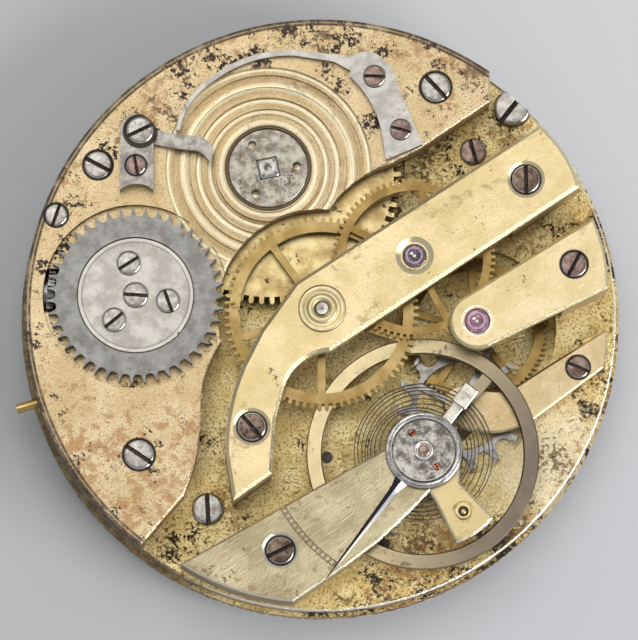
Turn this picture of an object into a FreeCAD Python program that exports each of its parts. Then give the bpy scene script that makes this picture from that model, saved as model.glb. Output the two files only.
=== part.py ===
import FreeCAD, Part
import math
import os

# A 19 ligne open-face pocket watch movement with a cylinder escapement, in millimetres.
# The origin is the centre of the main plate's dial-side face, +Z rises to the bridges,
# and the stem leaves near -X. The dial lies below z = 0.

V = FreeCAD.Vector
os.makedirs("parts", exist_ok=True)

# driving dimensions of the frame
plate_radius = 21.2          # pillar side of the plate and the bridges' outer wall
flange_lip = 0.3             # how far the case seat on the dial side stands out
flange_radius = plate_radius + flange_lip
flange_height = 0.9
plate_top = 2.4
barrel_bridge_top = 5.3
train_bridge_top = 6.2
train_bridge_under = 5.1
fourth_cock_top = 6.1
fourth_cock_under = 5.1
escape_cock_top = 3.25
escape_cock_under = 2.8
balance_cock_top = 5.4
balance_cock_under = 4.75
bevel = 0.12                 # polished edge on the plate and bridges
running_gap = 0.03           # radial clearance of a pivot or arbor in its hole
wheel_gap = 0.2              # clearance of a recess around a turning wheel

# plan places are measured on a plate of 21.2 and grow with it
plan_scale = plate_radius / 21.2


def at(x, y):
    return (plan_scale * x, plan_scale * y)


def traced(path):
    # an outline measured in the same way
    return [tuple(plan_scale * value for value in step) for step in path]


stem_angle = 175.7
slot_end = 20.15 * plan_scale            # outer end of the winding pinion's slot
fourth_radius = 11.07 * plan_scale
crown_radius_from_centre = slot_end - 6.85
centre_axis = (0.0, 0.0)
third_axis = at(6.6, 3.85)
escape_axis = at(10.07, -6.43)
balance_axis = at(7.23, -10.08)
barrel_axis = at(-3.825, 10.31)

# heights of the wheels
barrel_low = 1.15
barrel_flange_low = 2.75
barrel_top = 3.45
centre_wheel_low = 4.15
third_wheel_low = 4.65
fourth_wheel_low = 1.55
train_wheel_thickness = 0.25
escape_base_low = 2.0
escape_head_low = 2.55
balance_low = 3.45
balance_high = 3.95
balance_radius = 8.3
balance_rim_width = 1.1
hairspring_low = 4.25
hairspring_high = 4.45
motion_low = 1.2
motion_high = 1.5
crown_low = 4.9
crown_high = 5.75
stem_height = 2.95


def polar(angle, radius, centre=(0.0, 0.0)):
    a = math.radians(angle)
    return (centre[0] + radius * math.cos(a), centre[1] + radius * math.sin(a))


def distance(a, b):
    return math.hypot(b[0] - a[0], b[1] - a[1])


def heading(a, b):
    return math.degrees(math.atan2(b[1] - a[1], b[0] - a[0]))


stem_unit = polar(stem_angle, 1.0)
side_unit = polar(stem_angle + 90.0, 1.0)
fourth_axis = polar(stem_angle + 180.0, fourth_radius)
crown_axis = polar(stem_angle, crown_radius_from_centre)


def on_stem(along, across=0.0):
    return (along * stem_unit[0] + across * side_unit[0], along * stem_unit[1] + across * side_unit[1])


# solids
def disc(centre, radius, low, high):
    return Part.makeCylinder(radius, high - low, V(centre[0], centre[1], low))


def ring(centre, outer, inner, low, high):
    return disc(centre, outer, low, high).cut(disc(centre, inner, low, high))


def cone(centre, low_radius, high_radius, low, high):
    return Part.makeCone(low_radius, high_radius, high - low, V(centre[0], centre[1], low))


def radial_rod(radius, start, end, height):
    # a rod on the stem line from start to end out from the centre
    foot = on_stem(start)
    return Part.makeCylinder(radius, end - start, V(foot[0], foot[1], height), V(stem_unit[0], stem_unit[1], 0))


def fuse(shapes):
    shapes = list(shapes)
    return shapes[0].multiFuse(shapes[1:]).removeSplitter() if len(shapes) > 1 else shapes[0]


def group(shapes):
    return Part.makeCompound(list(shapes))


def outline(path, height):
    # a closed wire: (x, y) is a line's end, (mx, my, x, y) an arc's middle and end
    edges = []
    here = path[0]
    for step in list(path[1:]) + [path[0]]:
        end = step[-2:]
        if distance(here, end) > 1e-6:
            a = V(here[0], here[1], height)
            b = V(end[0], end[1], height)
            if len(step) == 4:
                edges.append(Part.Arc(a, V(step[0], step[1], height), b).toShape())
            else:
                edges.append(Part.makeLine(a, b))
        here = end
    return Part.Wire(edges)


def prism(path, low, high):
    return Part.Face(outline(path, low)).extrude(V(0, 0, high - low))


def arc_to(centre, radius, start, end):
    # the arc step of an outline from angle start to angle end
    return polar((start + end) / 2.0, radius, centre) + polar(end, radius, centre)


def capsule(a, b, half_width, low, high):
    turn = heading(a, b)
    path = [polar(turn + 90, half_width, a), arc_to(a, half_width, turn + 90, turn + 270),
            polar(turn - 90, half_width, b), arc_to(b, half_width, turn - 90, turn + 90)]
    return prism(path, low, high)


def top_edges(shape, height):
    found = []
    for edge in shape.Edges:
        box = edge.BoundBox
        if abs(box.ZMin - height) < 1e-4 and abs(box.ZMax - height) < 1e-4:
            found.append(edge)
    return found


def bevelled(shape, height, size=bevel):
    # every top edge that takes the bevel gets it, the others stay sharp
    edges = top_edges(shape, height)
    try:
        return shape.makeChamfer(size, edges)
    except Part.OCCError:
        kept = []
        for edge in sorted(edges, key=lambda e: -e.Length):
            try:
                trial = shape.makeChamfer(size, kept + [edge])
                if trial.isValid():
                    kept.append(edge)
            except Part.OCCError:
                print("left sharp", round(edge.Length, 2), edge.CenterOfMass)
        return shape.makeChamfer(size, kept)


# toothed wheels
def addendum_points(module, teeth, partner, height_share):
    # the flank above the pitch circle is an epicycloid rolled by half the partner's pitch circle
    pitch = module * teeth / 2.0
    roller = module * partner / 4.0
    points = []
    for share in (0.35, 0.7, 1.0):
        wanted = pitch + share * height_share * module
        low, high = 0.0, math.pi * roller / (pitch + roller)
        for _ in range(40):
            t = (low + high) / 2.0
            x = (pitch + roller) * math.cos(t) - roller * math.cos((pitch + roller) / roller * t)
            y = (pitch + roller) * math.sin(t) - roller * math.sin((pitch + roller) / roller * t)
            if math.hypot(x, y) < wanted:
                low = t
            else:
                high = t
        points.append((math.hypot(x, y), math.degrees(math.atan2(y, x))))
    return points


def wheel_profile(module, teeth, partner):
    # one tooth as (radius, degrees from its middle): radial root, epicycloid flank, blunt tip
    pitch = module * teeth / 2.0
    half = 0.47 * 180.0 / teeth
    rise = [(pitch - 1.2 * module, -half), (pitch, -half)]
    flank = addendum_points(module, teeth, partner, 1.05)
    rise += [(radius, -max(half - lean, 0.12 * half)) for radius, lean in flank]
    return rise + [(radius, -angle) for radius, angle in reversed(rise)]


def pinion_profile(module, leaves):
    # radial leaves with a rounded tip
    pitch = module * leaves / 2.0
    half = (0.40 if leaves > 11 else 0.34) * 180.0 / leaves
    rise = [(pitch - 1.4 * module, -half), (pitch, -half), (pitch + 0.35 * module, -0.75 * half),
            (pitch + 0.55 * module, -0.3 * half)]
    return rise + [(radius, -angle) for radius, angle in reversed(rise)]


def toothed_path(centre, teeth, profile, phase):
    step = 360.0 / teeth
    return [polar(phase + n * step + angle, radius, centre) for n in range(teeth) for radius, angle in profile]


def meshing_phase(a, phase_a, teeth_a, b, teeth_b):
    # the phase of wheel b that puts one of its spaces where wheel a has a tooth
    line = heading(a, b)
    step_a = 360.0 / teeth_a
    offset = ((line - phase_a) / step_a) % 1.0
    return line + 180.0 + (offset + 0.5) * 360.0 / teeth_b


def windows(centre, arms, phase, outer, inner, arm_width):
    # the openings between straight arms
    holes = []
    step = 360.0 / arms
    outer_side = math.degrees(math.asin(arm_width / 2.0 / outer))
    inner_side = math.degrees(math.asin(arm_width / 2.0 / inner))
    for n in range(arms):
        start = phase + n * step
        end = start + step
        holes.append([polar(start + outer_side, outer, centre),
                      arc_to(centre, outer, start + outer_side, end - outer_side),
                      polar(end - inner_side, inner, centre),
                      arc_to(centre, inner, end - inner_side, start + inner_side)])
    return holes


def crossed_wheel(centre, teeth, profile, phase, low, high, crossing):
    # crossing is (arms, arm phase, window outer radius, window inner radius, arm width, bore)
    arms, arm_phase, outer, inner, width, bore = crossing
    wheel = prism(toothed_path(centre, teeth, profile, phase), low, high)
    openings = [prism(path, low, high) for path in windows(centre, arms, arm_phase, outer, inner, width)]
    return wheel.cut(group(openings + [disc(centre, bore, low, high)]))


def root_radius(module, teeth):
    return module * (teeth / 2.0 - 1.2)


def tip_radius(module, teeth):
    return module * (teeth / 2.0 + 1.05)


# gear counts, and the modules that follow from the axis distances
barrel_teeth = 78
centre_leaves = 14
centre_teeth = 80
third_leaves = 10
third_teeth = 75
fourth_leaves = 10
fourth_teeth = 80
escape_leaves = 8
escape_teeth = 15
barrel_module = 2 * distance(barrel_axis, centre_axis) / (barrel_teeth + centre_leaves)
centre_module = 2 * distance(centre_axis, third_axis) / (centre_teeth + third_leaves)
third_module = 2 * distance(third_axis, fourth_axis) / (third_teeth + fourth_leaves)
fourth_module = 2 * distance(fourth_axis, escape_axis) / (fourth_teeth + escape_leaves)
cannon_leaves = 12
minute_teeth = 36
minute_leaves = 10
hour_teeth = 40
intermediate_teeth = 45
setting_teeth = 26
motion_module = 0.16 * plan_scale
minute_distance = motion_module * (cannon_leaves + minute_teeth) / 2.0
hour_module = 2 * minute_distance / (minute_leaves + hour_teeth)
minute_axis = polar(225.0, minute_distance)
clutch_inner = slot_end - 3.85
setting_wheel_gap = 0.33       # to the clutch while the stem stands in winding
setting_axis = on_stem(clutch_inner - setting_wheel_gap - motion_module * (setting_teeth / 2.0 + 1.05))


def third_corner(a, b, from_a, from_b):
    # the point at the given distances from a and b, on the right of the line from a to b
    base = distance(a, b)
    along = (from_a ** 2 - from_b ** 2 + base ** 2) / (2 * base)
    aside = math.sqrt(from_a ** 2 - along ** 2)
    turn = heading(a, b)
    return polar(turn + 90.0, aside, polar(turn, along, a))


intermediate_axis = third_corner(minute_axis, setting_axis,
                                 motion_module * (minute_teeth + intermediate_teeth) / 2.0,
                                 motion_module * (intermediate_teeth + setting_teeth) / 2.0)

# phases: the pinion meets its wheel, each pair counted from the wheel's own phase
barrel_phase = heading(barrel_axis, centre_axis)
centre_pinion_phase = meshing_phase(barrel_axis, barrel_phase, barrel_teeth, centre_axis, centre_leaves)
centre_phase = heading(centre_axis, third_axis)
third_pinion_phase = meshing_phase(centre_axis, centre_phase, centre_teeth, third_axis, third_leaves)
third_phase = heading(third_axis, fourth_axis)
fourth_pinion_phase = meshing_phase(third_axis, third_phase, third_teeth, fourth_axis, fourth_leaves)
fourth_phase = heading(fourth_axis, escape_axis)
escape_pinion_phase = meshing_phase(fourth_axis, fourth_phase, fourth_teeth, escape_axis, escape_leaves)
minute_phase = heading(minute_axis, centre_axis)
cannon_phase = meshing_phase(minute_axis, minute_phase, minute_teeth, centre_axis, cannon_leaves)
hour_phase = heading(centre_axis, minute_axis)
minute_pinion_phase = meshing_phase(centre_axis, hour_phase, hour_teeth, minute_axis, minute_leaves)
intermediate_phase = meshing_phase(minute_axis, minute_phase, minute_teeth, intermediate_axis, intermediate_teeth)
setting_phase = meshing_phase(intermediate_axis, intermediate_phase, intermediate_teeth, setting_axis, setting_teeth)

# barrel, from its toothed flange inward
drum_step = 0.086              # the drum stands back from the roots of the teeth
barrel_wall = 0.45
barrel_cover_ledge = 0.1
barrel_core_radius = 1.7
barrel_pivot_radius = 0.8
barrel_neck_radius = 1.2
barrel_drum_radius = root_radius(barrel_module, barrel_teeth) - drum_step
barrel_inner_radius = barrel_drum_radius - barrel_wall
barrel_cover_radius = barrel_inner_radius + barrel_cover_ledge

# recesses of the plate and cuts of the bridges around the wheels
barrel_gap = 0.35
barrel_shelf_gap = 0.325
fourth_gap = 0.55
pillar_circle = distance(escape_axis, balance_axis) - 0.125
tooth_reach = 0.25             # from the pillars to the tips of the escape wheel's teeth
barrel_recess_radius = barrel_drum_radius + barrel_gap
barrel_shelf_radius = tip_radius(barrel_module, barrel_teeth) + barrel_shelf_gap
barrel_recess_floor = 1.05
barrel_shelf = 1.9
fourth_recess_radius = tip_radius(fourth_module, fourth_teeth) + fourth_gap
fourth_recess_floor = 1.3
escape_recess_radius = pillar_circle + tooth_reach + wheel_gap
centre_cut = tip_radius(centre_module, centre_teeth) + 0.48
third_cut = tip_radius(third_module, third_teeth) + 1.15
escape_recess_floor = 1.85
escape_pocket_radius = 1.3
motion_pocket_top = 1.65
yoke_pocket_top = 1.15
slot_start = slot_end - 4.9
slot_half_width = 2.35
slot_top = 4.55
stem_bore_radius = 0.5
stem_neck_radius = 0.34        # the stem's part in the winding pinion
stem_square = stem_neck_radius * math.sqrt(2.0)
winding_pinion_tip = 2.2
winding_pinion_face = slot_end - 0.23
tooth_well_half_width = 1.6

# keyless work places
yoke_pivot = at(-16.6, 6.3)
groove_along = slot_end - 2.55
setting_pin_angle = 196.6
setting_pin_radius = 0.35
setting_pin_height = 0.65
setting_pin_inner = flange_radius - 2.4
setting_pin_outer = flange_radius + 1.25
yoke_pad = polar(setting_pin_angle, setting_pin_inner - 0.55)
yoke_pocket_end = polar(setting_pin_angle, setting_pin_inner - 0.9)
yoke_low = 0.35
yoke_high = 0.95
yoke_spring_screw = at(-12.7, -5.7)

# screws: place, head radius, height of the seat, head height, shank radius, end of the shank, slot angle
barrel_bridge_screws = [(at(-18.96, 6.84), 0.8, 4.95, 0.45, 0.42, 1.5, 71.0),
                        (at(-16.0, 10.49), 1.0, 4.9, 0.5, 0.5, 1.4, 152.0),
                        (at(-12.97, -10.39), 1.08, 4.9, 0.5, 0.5, 1.4, 146.0),
                        (at(8.17, 16.26), 1.08, 4.9, 0.5, 0.5, 1.4, 133.0)]
train_bridge_screws = [(at(14.57, 9.4), 1.0, 5.75, 0.5, 0.5, 1.4, 91.0),
                       (at(-4.98, -8.49), 1.0, 5.75, 0.5, 0.5, 1.4, 131.0)]
cock_screws = [(at(17.97, 3.28), 0.93, 5.65, 0.5, 0.5, 1.3, 62.0),
               (at(18.39, -3.72), 0.8, 2.95, 0.4, 0.42, 1.2, 157.0),
               (at(-2.94, -17.2), 1.0, 4.88, 0.5, 0.5, 1.3, 26.0)]
plate_screws = [(at(10.97, 12.07), 0.95, 2.3, 0.5, 0.45, 0.6, 105.0),
                (at(-8.08, -13.92), 1.12, 2.3, 0.5, 0.5, 0.6, 93.0)]
case_screw_place = at(13.78, 15.25)
click_screws = [(at(-12.99, 12.76), 0.95, 6.35, 0.4, 0.4, 4.0, 26.0),
                (at(-13.28, 10.28), 0.7, 6.1, 0.4, 0.36, 4.0, 100.0)]
spring_foot_screws = [(at(3.76, 16.9), 0.78, 5.65, 0.4, 0.36, 4.0, 178.0),
                      (at(5.63, 13.03), 0.74, 5.65, 0.4, 0.36, 4.1, 165.0)]
crown_cap_screws = [(polar(102.0, 2.35, crown_axis), 0.84, 5.55, 0.35, 0.35, 4.1, 33.0),
                    (polar(-10.0, 2.35, crown_axis), 0.84, 5.55, 0.35, 0.35, 4.1, 110.0),
                    (polar(230.0, 2.35, crown_axis), 0.84, 5.55, 0.35, 0.35, 4.6, 40.0),
                    (crown_axis, 0.88, 5.55, 0.35, 0.4, 4.1, 176.0)]
endstone_screws = [(polar(125.0, 1.5, balance_axis), 0.24, 5.68, 0.15, 0.12, 5.0, 40.0),
                   (polar(-52.0, 1.5, balance_axis), 0.24, 5.68, 0.15, 0.12, 5.0, 120.0)]

# dowels that place the bridges on the plate
dowel_radius = 0.35
dowel_low = 1.7
barrel_bridge_dowels = traced([(-19.2, -3.6), (1.4, 19.9), (-14.6, -12.4)])
train_bridge_dowels = traced([(16.4, 10.4), (-5.2, -11.2)])
cock_dowels = traced([(18.6, 5.2), (19.2, -1.9), (-7.4, -18.3)])
rate_pins = traced([(0.44, -10.15), (4.55, -16.4)])

# dial
dial_feet = [polar(angle, plate_radius - 2.6) for angle in (20.0, 215.0, 290.0)]
dial_foot_radius = 0.45
dial_front = -0.9
dial_copper_low = -0.5
dial_copper_high = -0.12
seconds_hole = 4.2
dial_centre_hole = 1.7         # leaves room for a hand's collet on the hour pipe
seconds_seat = 4.5

# hand fittings
centre_arbor_radius = 0.4
centre_pivot_radius = 0.8
centre_upper_radius = 0.42
cannon_body_radius = 0.85
cannon_nose_radius = 0.62
hour_pipe_radius = 1.15
hour_pipe_end = -1.6
cannon_nose_end = -2.2
seconds_post_radius = 0.14     # carries the small hand
seconds_post_end = -1.55
seconds_arbor_radius = 0.3     # the thicker part above it, which runs in the plate
seconds_arbor_low = -0.95


slot_width_share = 0.34        # of the head's radius
slot_depth_share = 0.6         # of the head's height


def screw(spec):
    place, head, seat, height, shank, end, slot_angle = spec
    top = seat + height
    body = fuse([disc(place, head, seat, top), disc(place, shank, end, seat)])
    body = body.makeChamfer(0.06, top_edges(body, top))
    slot_depth = slot_depth_share * height
    width = slot_width_share * head
    slot = Part.makeBox(3 * head, width, slot_depth + 0.01, V(-1.5 * head, -width / 2.0, 0))
    slot.rotate(V(0, 0, 0), V(0, 0, 1), slot_angle)
    slot.translate(V(place[0], place[1], top - slot_depth))
    return body.cut(slot)


def screw_holes(specs, tapped_below, sink_top):
    # clearance and sink above tapped_below, the tapped size under it
    holes = []
    for place, head, seat, _, shank, end, _ in specs:
        holes.append(disc(place, shank, end, seat))
        if tapped_below < seat:
            holes.append(disc(place, shank + 0.06, max(tapped_below, end), seat))
        holes.append(disc(place, head + 0.07, seat, max(sink_top, seat + 0.02)))
    return holes


def dowel_holes(places, high):
    return [disc(place, dowel_radius, dowel_low, high) for place in places]


def cut_all(shape, tools):
    return shape.cut(group(tools)) if tools else shape


# main plate
def make_main_plate():
    plate = disc(centre_axis, plate_radius, 0, plate_top)
    plate = bevelled(plate, plate_top)
    plate = plate.fuse(disc(centre_axis, flange_radius, 0, flange_height)).removeSplitter()
    cuts = [disc(barrel_axis, barrel_recess_radius, barrel_recess_floor, plate_top),
            disc(barrel_axis, barrel_shelf_radius, barrel_shelf, plate_top),
            disc(fourth_axis, fourth_recess_radius, fourth_recess_floor, plate_top),
            disc(escape_axis, escape_recess_radius, escape_recess_floor, plate_top),
            disc(escape_axis, escape_pocket_radius, fourth_recess_floor, plate_top),
            disc(balance_axis, 0.9, 1.25, plate_top),
            disc(centre_axis, 2.3, 2.1, plate_top)]
    # bores of the arbors and seats of the lower jewels
    cuts += [disc(centre_axis, centre_pivot_radius + running_gap, 0, plate_top),
             disc(third_axis, 0.5, 0.9, 1.4), disc(third_axis, 1.0, 1.4, plate_top),
             disc(third_axis, 0.3, 0.5, 0.9),
             disc(fourth_axis, 0.5, 0.8, fourth_recess_floor),
             disc(fourth_axis, seconds_arbor_radius + 0.06, 0, 0.8),
             disc(escape_axis, 0.5, 0.8, fourth_recess_floor), disc(escape_axis, 0.3, 0.4, 0.8),
             disc(balance_axis, 0.5, 0.8, 1.25), disc(balance_axis, 0.3, 0.4, 0.8),
             disc(barrel_axis, barrel_pivot_radius + running_gap, 0.3, barrel_recess_floor)]
    # inspection window beside the cylinder
    cuts.append(capsule(at(9.85, -8.6), at(10.45, -8.0), 0.45, 0, plate_top))
    # dial-side pockets of the motion work and the setting wheels
    pitch = motion_module / 2.0
    cuts += [disc(centre_axis, hour_module * hour_teeth / 2.0 + 0.35, 0, 0.8),
             disc(centre_axis, 1.3, 0, motion_pocket_top),
             disc(minute_axis, pitch * minute_teeth + 0.32, 0, motion_pocket_top),
             disc(intermediate_axis, pitch * intermediate_teeth + 0.32, 0, motion_pocket_top),
             disc(setting_axis, pitch * setting_teeth + 0.32, 0, motion_pocket_top),
             capsule(yoke_pivot, yoke_pocket_end, 1.75, 0, yoke_pocket_top),
             capsule(yoke_spring_screw, at(-17.2, -3.6), 1.5, 0, yoke_pocket_top)]
    # slot of the winding pinion and clutch, stem bore and setting pin bore
    slot = [on_stem(slot_start, -slot_half_width), on_stem(slot_end, -slot_half_width),
            on_stem(slot_end, slot_half_width), on_stem(slot_start, slot_half_width)]
    cuts.append(prism(slot, 0, plate_top))
    outward = polar(setting_pin_angle, 1.0)
    cuts.append(Part.makeCylinder(setting_pin_radius + running_gap, 5.0,
                                  V(yoke_pocket_end[0], yoke_pocket_end[1], setting_pin_height),
                                  V(outward[0], outward[1], 0)))
    # screws, dowels and dial feet
    for specs in (barrel_bridge_screws, train_bridge_screws, cock_screws):
        cuts += [disc(place, shank, end, plate_top) for place, _, _, _, shank, end, _ in specs]
    cuts += screw_holes(plate_screws, plate_top, plate_top)
    cuts.append(disc(case_screw_place, 0.55, 0.8, plate_top))
    cuts.append(disc(case_screw_place, 1.4, 2.1, plate_top))
    cuts.append(disc(yoke_spring_screw, 0.3, yoke_high, 1.9))
    cuts.append(disc(yoke_pivot, 0.4, 1.0, 2.0))
    for axis in (minute_axis, intermediate_axis, setting_axis):
        cuts.append(disc(axis, 0.35, 1.5, 2.2))
    cuts += dowel_holes(barrel_bridge_dowels + train_bridge_dowels + cock_dowels, plate_top)
    cuts += [disc(place, 0.4, 1.6, plate_top) for place in rate_pins]
    cuts += [disc(place, dial_foot_radius, 0, 2.0) for place in dial_feet]
    return cut_all(plate, cuts)


# bridges and cocks
def ratchet_seat():
    # the turned rings and steps that the ratchet wheel lies over
    floor = 4.72
    cuts = [ring(barrel_axis, 7.36, 3.82, floor, barrel_bridge_top),
            ring(barrel_axis, 3.82, 3.2, 5.12, barrel_bridge_top),
            disc(barrel_axis, 2.93, 4.62, barrel_bridge_top)]
    steps = [ring(barrel_axis, 7.36, 6.85, floor, 5.05), ring(barrel_axis, 6.35, 6.0, floor, 4.9),
             ring(barrel_axis, 5.6, 5.2, floor, 4.98), ring(barrel_axis, 4.75, 4.4, floor, 4.9)]
    return cuts, steps


def make_barrel_bridge():
    first = polar(55.4, plate_radius)
    path = [first]
    path += traced([(12.07, 15.24), (6.95, 11.74), (4.45, 10.45), (2.0, 5.0), (-6.0, 1.0), (-6.85, -1.75),
                    (-8.076, -4.038, -8.5, -6.6), (-8.814, -9.952, -9.75, -13.2)])
    path += [polar(232.7, plate_radius), polar(144.0, plate_radius) + first]
    bridge = prism(path, plate_top, barrel_bridge_top)
    bridge = bridge.cut(disc(third_axis, third_cut, plate_top, barrel_bridge_top))
    bridge = bridge.cut(disc(centre_axis, centre_cut, plate_top, barrel_bridge_top))
    bridge = bevelled(bridge, barrel_bridge_top)
    cuts, steps = ratchet_seat()
    bridge = bridge.cut(group(cuts))
    bridge = bridge.multiFuse(steps)
    cuts = [disc(third_axis, third_cut, plate_top, barrel_bridge_top),
            disc(centre_axis, centre_cut, plate_top, barrel_bridge_top),
            disc(barrel_axis, barrel_shelf_radius + 0.02, plate_top, 3.72),
            disc(barrel_axis, barrel_neck_radius + running_gap, 3.7, barrel_bridge_top),
            disc(crown_axis, 6.62, 4.8, barrel_bridge_top)]
    slot = [on_stem(slot_start, -slot_half_width), on_stem(slot_end, -slot_half_width),
            on_stem(slot_end, slot_half_width), on_stem(slot_start, slot_half_width)]
    cuts.append(prism(slot, plate_top, slot_top))
    tooth_well = [on_stem(along, across) for along, across in
                  ((winding_pinion_face - 1.07, -tooth_well_half_width), (winding_pinion_face, -tooth_well_half_width),
                   (winding_pinion_face, tooth_well_half_width), (winding_pinion_face - 1.07, tooth_well_half_width))]
    cuts.append(prism(tooth_well, plate_top, 5.26))
    cuts.append(radial_rod(stem_bore_radius, slot_end - 0.1, flange_radius, stem_height))
    cuts += screw_holes(barrel_bridge_screws, plate_top, barrel_bridge_top)
    cuts += screw_holes([(place, 0.1, 5.0, 0, shank, end, 0)
                         for place, _, _, _, shank, end, _ in click_screws], 5.3, 5.0)
    cuts += [disc(place, shank, end, barrel_bridge_top)
             for place, _, _, _, shank, end, _ in click_screws + spring_foot_screws]
    cuts += [disc(place, shank, end, crown_low) for place, _, _, _, shank, end, _ in crown_cap_screws]
    cuts += dowel_holes(barrel_bridge_dowels, 3.6)
    cuts.append(disc(case_screw_place, 1.4, plate_top, barrel_bridge_top))
    return cut_all(bridge, cuts).removeSplitter()


def make_train_bridge():
    path = traced([(15.58, 13.34), (17.6, 10.9, 18.4, 8.89), (0.58, -3.02), (-1.5, -3.85, -2.67, -5.57),
                   (-3.25, -7.76), (-3.54, -11.78), (-6.28, -13.75), (-6.85, -10.32),
                   (-6.45, -6.7, -5.6, -4.1), (-4.33, -1.56), (-1.88, 1.88)])
    beam = prism(path, train_bridge_under, train_bridge_top)
    outer_foot = beam.cut(disc(third_axis, third_cut + 0.35, train_bridge_under, train_bridge_top))
    outer_foot = outer_foot.common(Part.makeBox(20, 40, 9, V(8 * plan_scale, 0, 0)))
    lower_foot = beam.common(Part.makeBox(20, 12, 9, V(-12 * plan_scale, -7.4 * plan_scale - 12, 0)))
    feet = []
    for foot in (outer_foot, lower_foot):
        face = [f for f in foot.Faces if abs(f.CenterOfMass.z - train_bridge_under) < 1e-6][0]
        feet.append(face.extrude(V(0, 0, plate_top - train_bridge_under)))
    bridge = bevelled(beam, train_bridge_top, 0.25)
    bridge = bridge.multiFuse(feet)
    cuts = [disc(centre_axis, 1.2, train_bridge_under, train_bridge_top),
            disc(centre_axis, 1.73, train_bridge_top - 0.2, train_bridge_top),
            disc(third_axis, 0.87, train_bridge_under, train_bridge_top),
            cone(third_axis, 1.0, 1.37, train_bridge_top - 0.2, train_bridge_top)]
    cuts += screw_holes(train_bridge_screws, plate_top, train_bridge_top)
    cuts += [cone(place, 1.07, 1.35, train_bridge_top - 0.15, train_bridge_top)
             for place, _, _, _, _, _, _ in train_bridge_screws]
    cuts += dowel_holes(train_bridge_dowels, 3.6)
    return cut_all(bridge, cuts).removeSplitter()


def make_fourth_cock():
    # a tongue with a round end over the fourth wheel's pivot
    end_radius = 1.98
    corner_a = at(19.34, 6.64)
    corner_b = at(20.4, 1.6)
    upper = heading(fourth_axis, corner_a) + math.degrees(math.acos(end_radius / distance(corner_a, fourth_axis)))
    lower = heading(fourth_axis, corner_b) - math.degrees(math.acos(end_radius / distance(corner_b, fourth_axis)))
    path = [corner_a, polar(upper, end_radius, fourth_axis), arc_to(fourth_axis, end_radius, upper, lower + 360),
            corner_b, at(20.15, 4.2) + corner_a]
    tongue = prism(path, fourth_cock_under, fourth_cock_top)
    foot = tongue.cut(disc(fourth_axis, fourth_recess_radius + 0.35, fourth_cock_under, fourth_cock_top))
    face = [f for f in foot.Faces if abs(f.CenterOfMass.z - fourth_cock_under) < 1e-6][0]
    cock = bevelled(tongue, fourth_cock_top, 0.2).fuse(face.extrude(V(0, 0, plate_top - fourth_cock_under)))
    cuts = [disc(fourth_axis, 1.15, fourth_cock_under + 0.3, fourth_cock_top),
            disc(fourth_axis, 0.6, fourth_cock_under, fourth_cock_top)]
    cuts += screw_holes(cock_screws[:1], plate_top, fourth_cock_top)
    cuts += dowel_holes(cock_dowels[:1], 3.6)
    return cut_all(cock, cuts).removeSplitter()


def make_escape_cock():
    path = traced([(20.45, -0.95), (16.44, -3.47), (13.99, -5.08), (12.9, -5.45), (10.6, -5.3),
                   (8.9, -6.0, 9.3, -7.3), (10.0, -8.1, 11.1, -8.29), (12.6, -8.45, 13.99, -8.07),
                   (15.2, -7.49), (20.2, -3.75), (20.45, -2.3, 20.45, -0.95)])
    bar = prism(path, escape_cock_under, escape_cock_top)
    foot = bar.cut(disc(escape_axis, escape_recess_radius + 0.12, escape_cock_under, escape_cock_top))
    foot = foot.cut(disc(fourth_axis, fourth_recess_radius + 0.05, escape_cock_under, escape_cock_top))
    solids = sorted(foot.Solids, key=lambda s: s.Volume)
    face = [f for f in solids[-1].Faces if abs(f.CenterOfMass.z - escape_cock_under) < 1e-6][0]
    cock = bevelled(bar, escape_cock_top, 0.14).fuse(face.extrude(V(0, 0, plate_top - escape_cock_under)))
    cuts = [disc(escape_axis, 0.45, escape_cock_under, escape_cock_top)]
    cuts += screw_holes(cock_screws[1:2], plate_top, escape_cock_top)
    cuts += dowel_holes(cock_dowels[1:2], escape_cock_top - 0.3)
    return cut_all(cock, cuts).removeSplitter()


def make_balance_cock():
    # the foot follows the plate's rim, the arm tapers to a round end, and a lug holds the stud
    rim = plate_radius - 0.25
    path = [polar(241.2, rim - 0.2), polar(253.0, rim) + polar(264.4, rim)]
    path += traced([(1.7, -18.3), (3.84, -16.69), (5.5, -15.16), (6.9, -13.75, 7.62, -13.0), (8.1, -13.75),
                    (8.8, -15.22), (9.57, -16.65), (10.95, -15.95, 12.14, -14.86), (9.75, -12.3)])
    path += [polar(-5.0, 2.6, balance_axis), arc_to(balance_axis, 2.6, -5.0, 175.0)]
    arm = prism(path, balance_cock_under, balance_cock_top)
    foot = arm.cut(disc(balance_axis, balance_radius + 0.45, balance_cock_under, balance_cock_top))
    foot = sorted(foot.Solids, key=lambda s: s.Volume)[-1]
    face = [f for f in foot.Faces if abs(f.CenterOfMass.z - balance_cock_under) < 1e-6][0]
    cock = bevelled(arm, balance_cock_top, 0.14).fuse(face.extrude(V(0, 0, plate_top - balance_cock_under)))
    cuts = [disc(balance_axis, 0.6, balance_cock_under, balance_cock_top),
            disc(stud_place, 0.42, balance_cock_under, balance_cock_top),
            disc(stud_place, 0.75, balance_cock_top - 0.12, balance_cock_top)]
    cuts += screw_holes(cock_screws[2:], plate_top, balance_cock_top)
    cuts.append(cone(cock_screws[2][0], 1.07, 1.3, balance_cock_top - 0.12, balance_cock_top))
    cuts += [disc(place, shank, end, balance_cock_top) for place, _, _, _, shank, end, _ in endstone_screws]
    cuts += dowel_holes(cock_dowels[2:], 3.6)
    return cut_all(cock, cuts).removeSplitter()


# jewels, bushings and dowels
def jewel(centre, radius, hole, low, high, dish):
    stone = ring(centre, radius, hole, low, high)
    return stone.cut(cone(centre, hole, radius * 0.75, high - dish, high))


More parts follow.
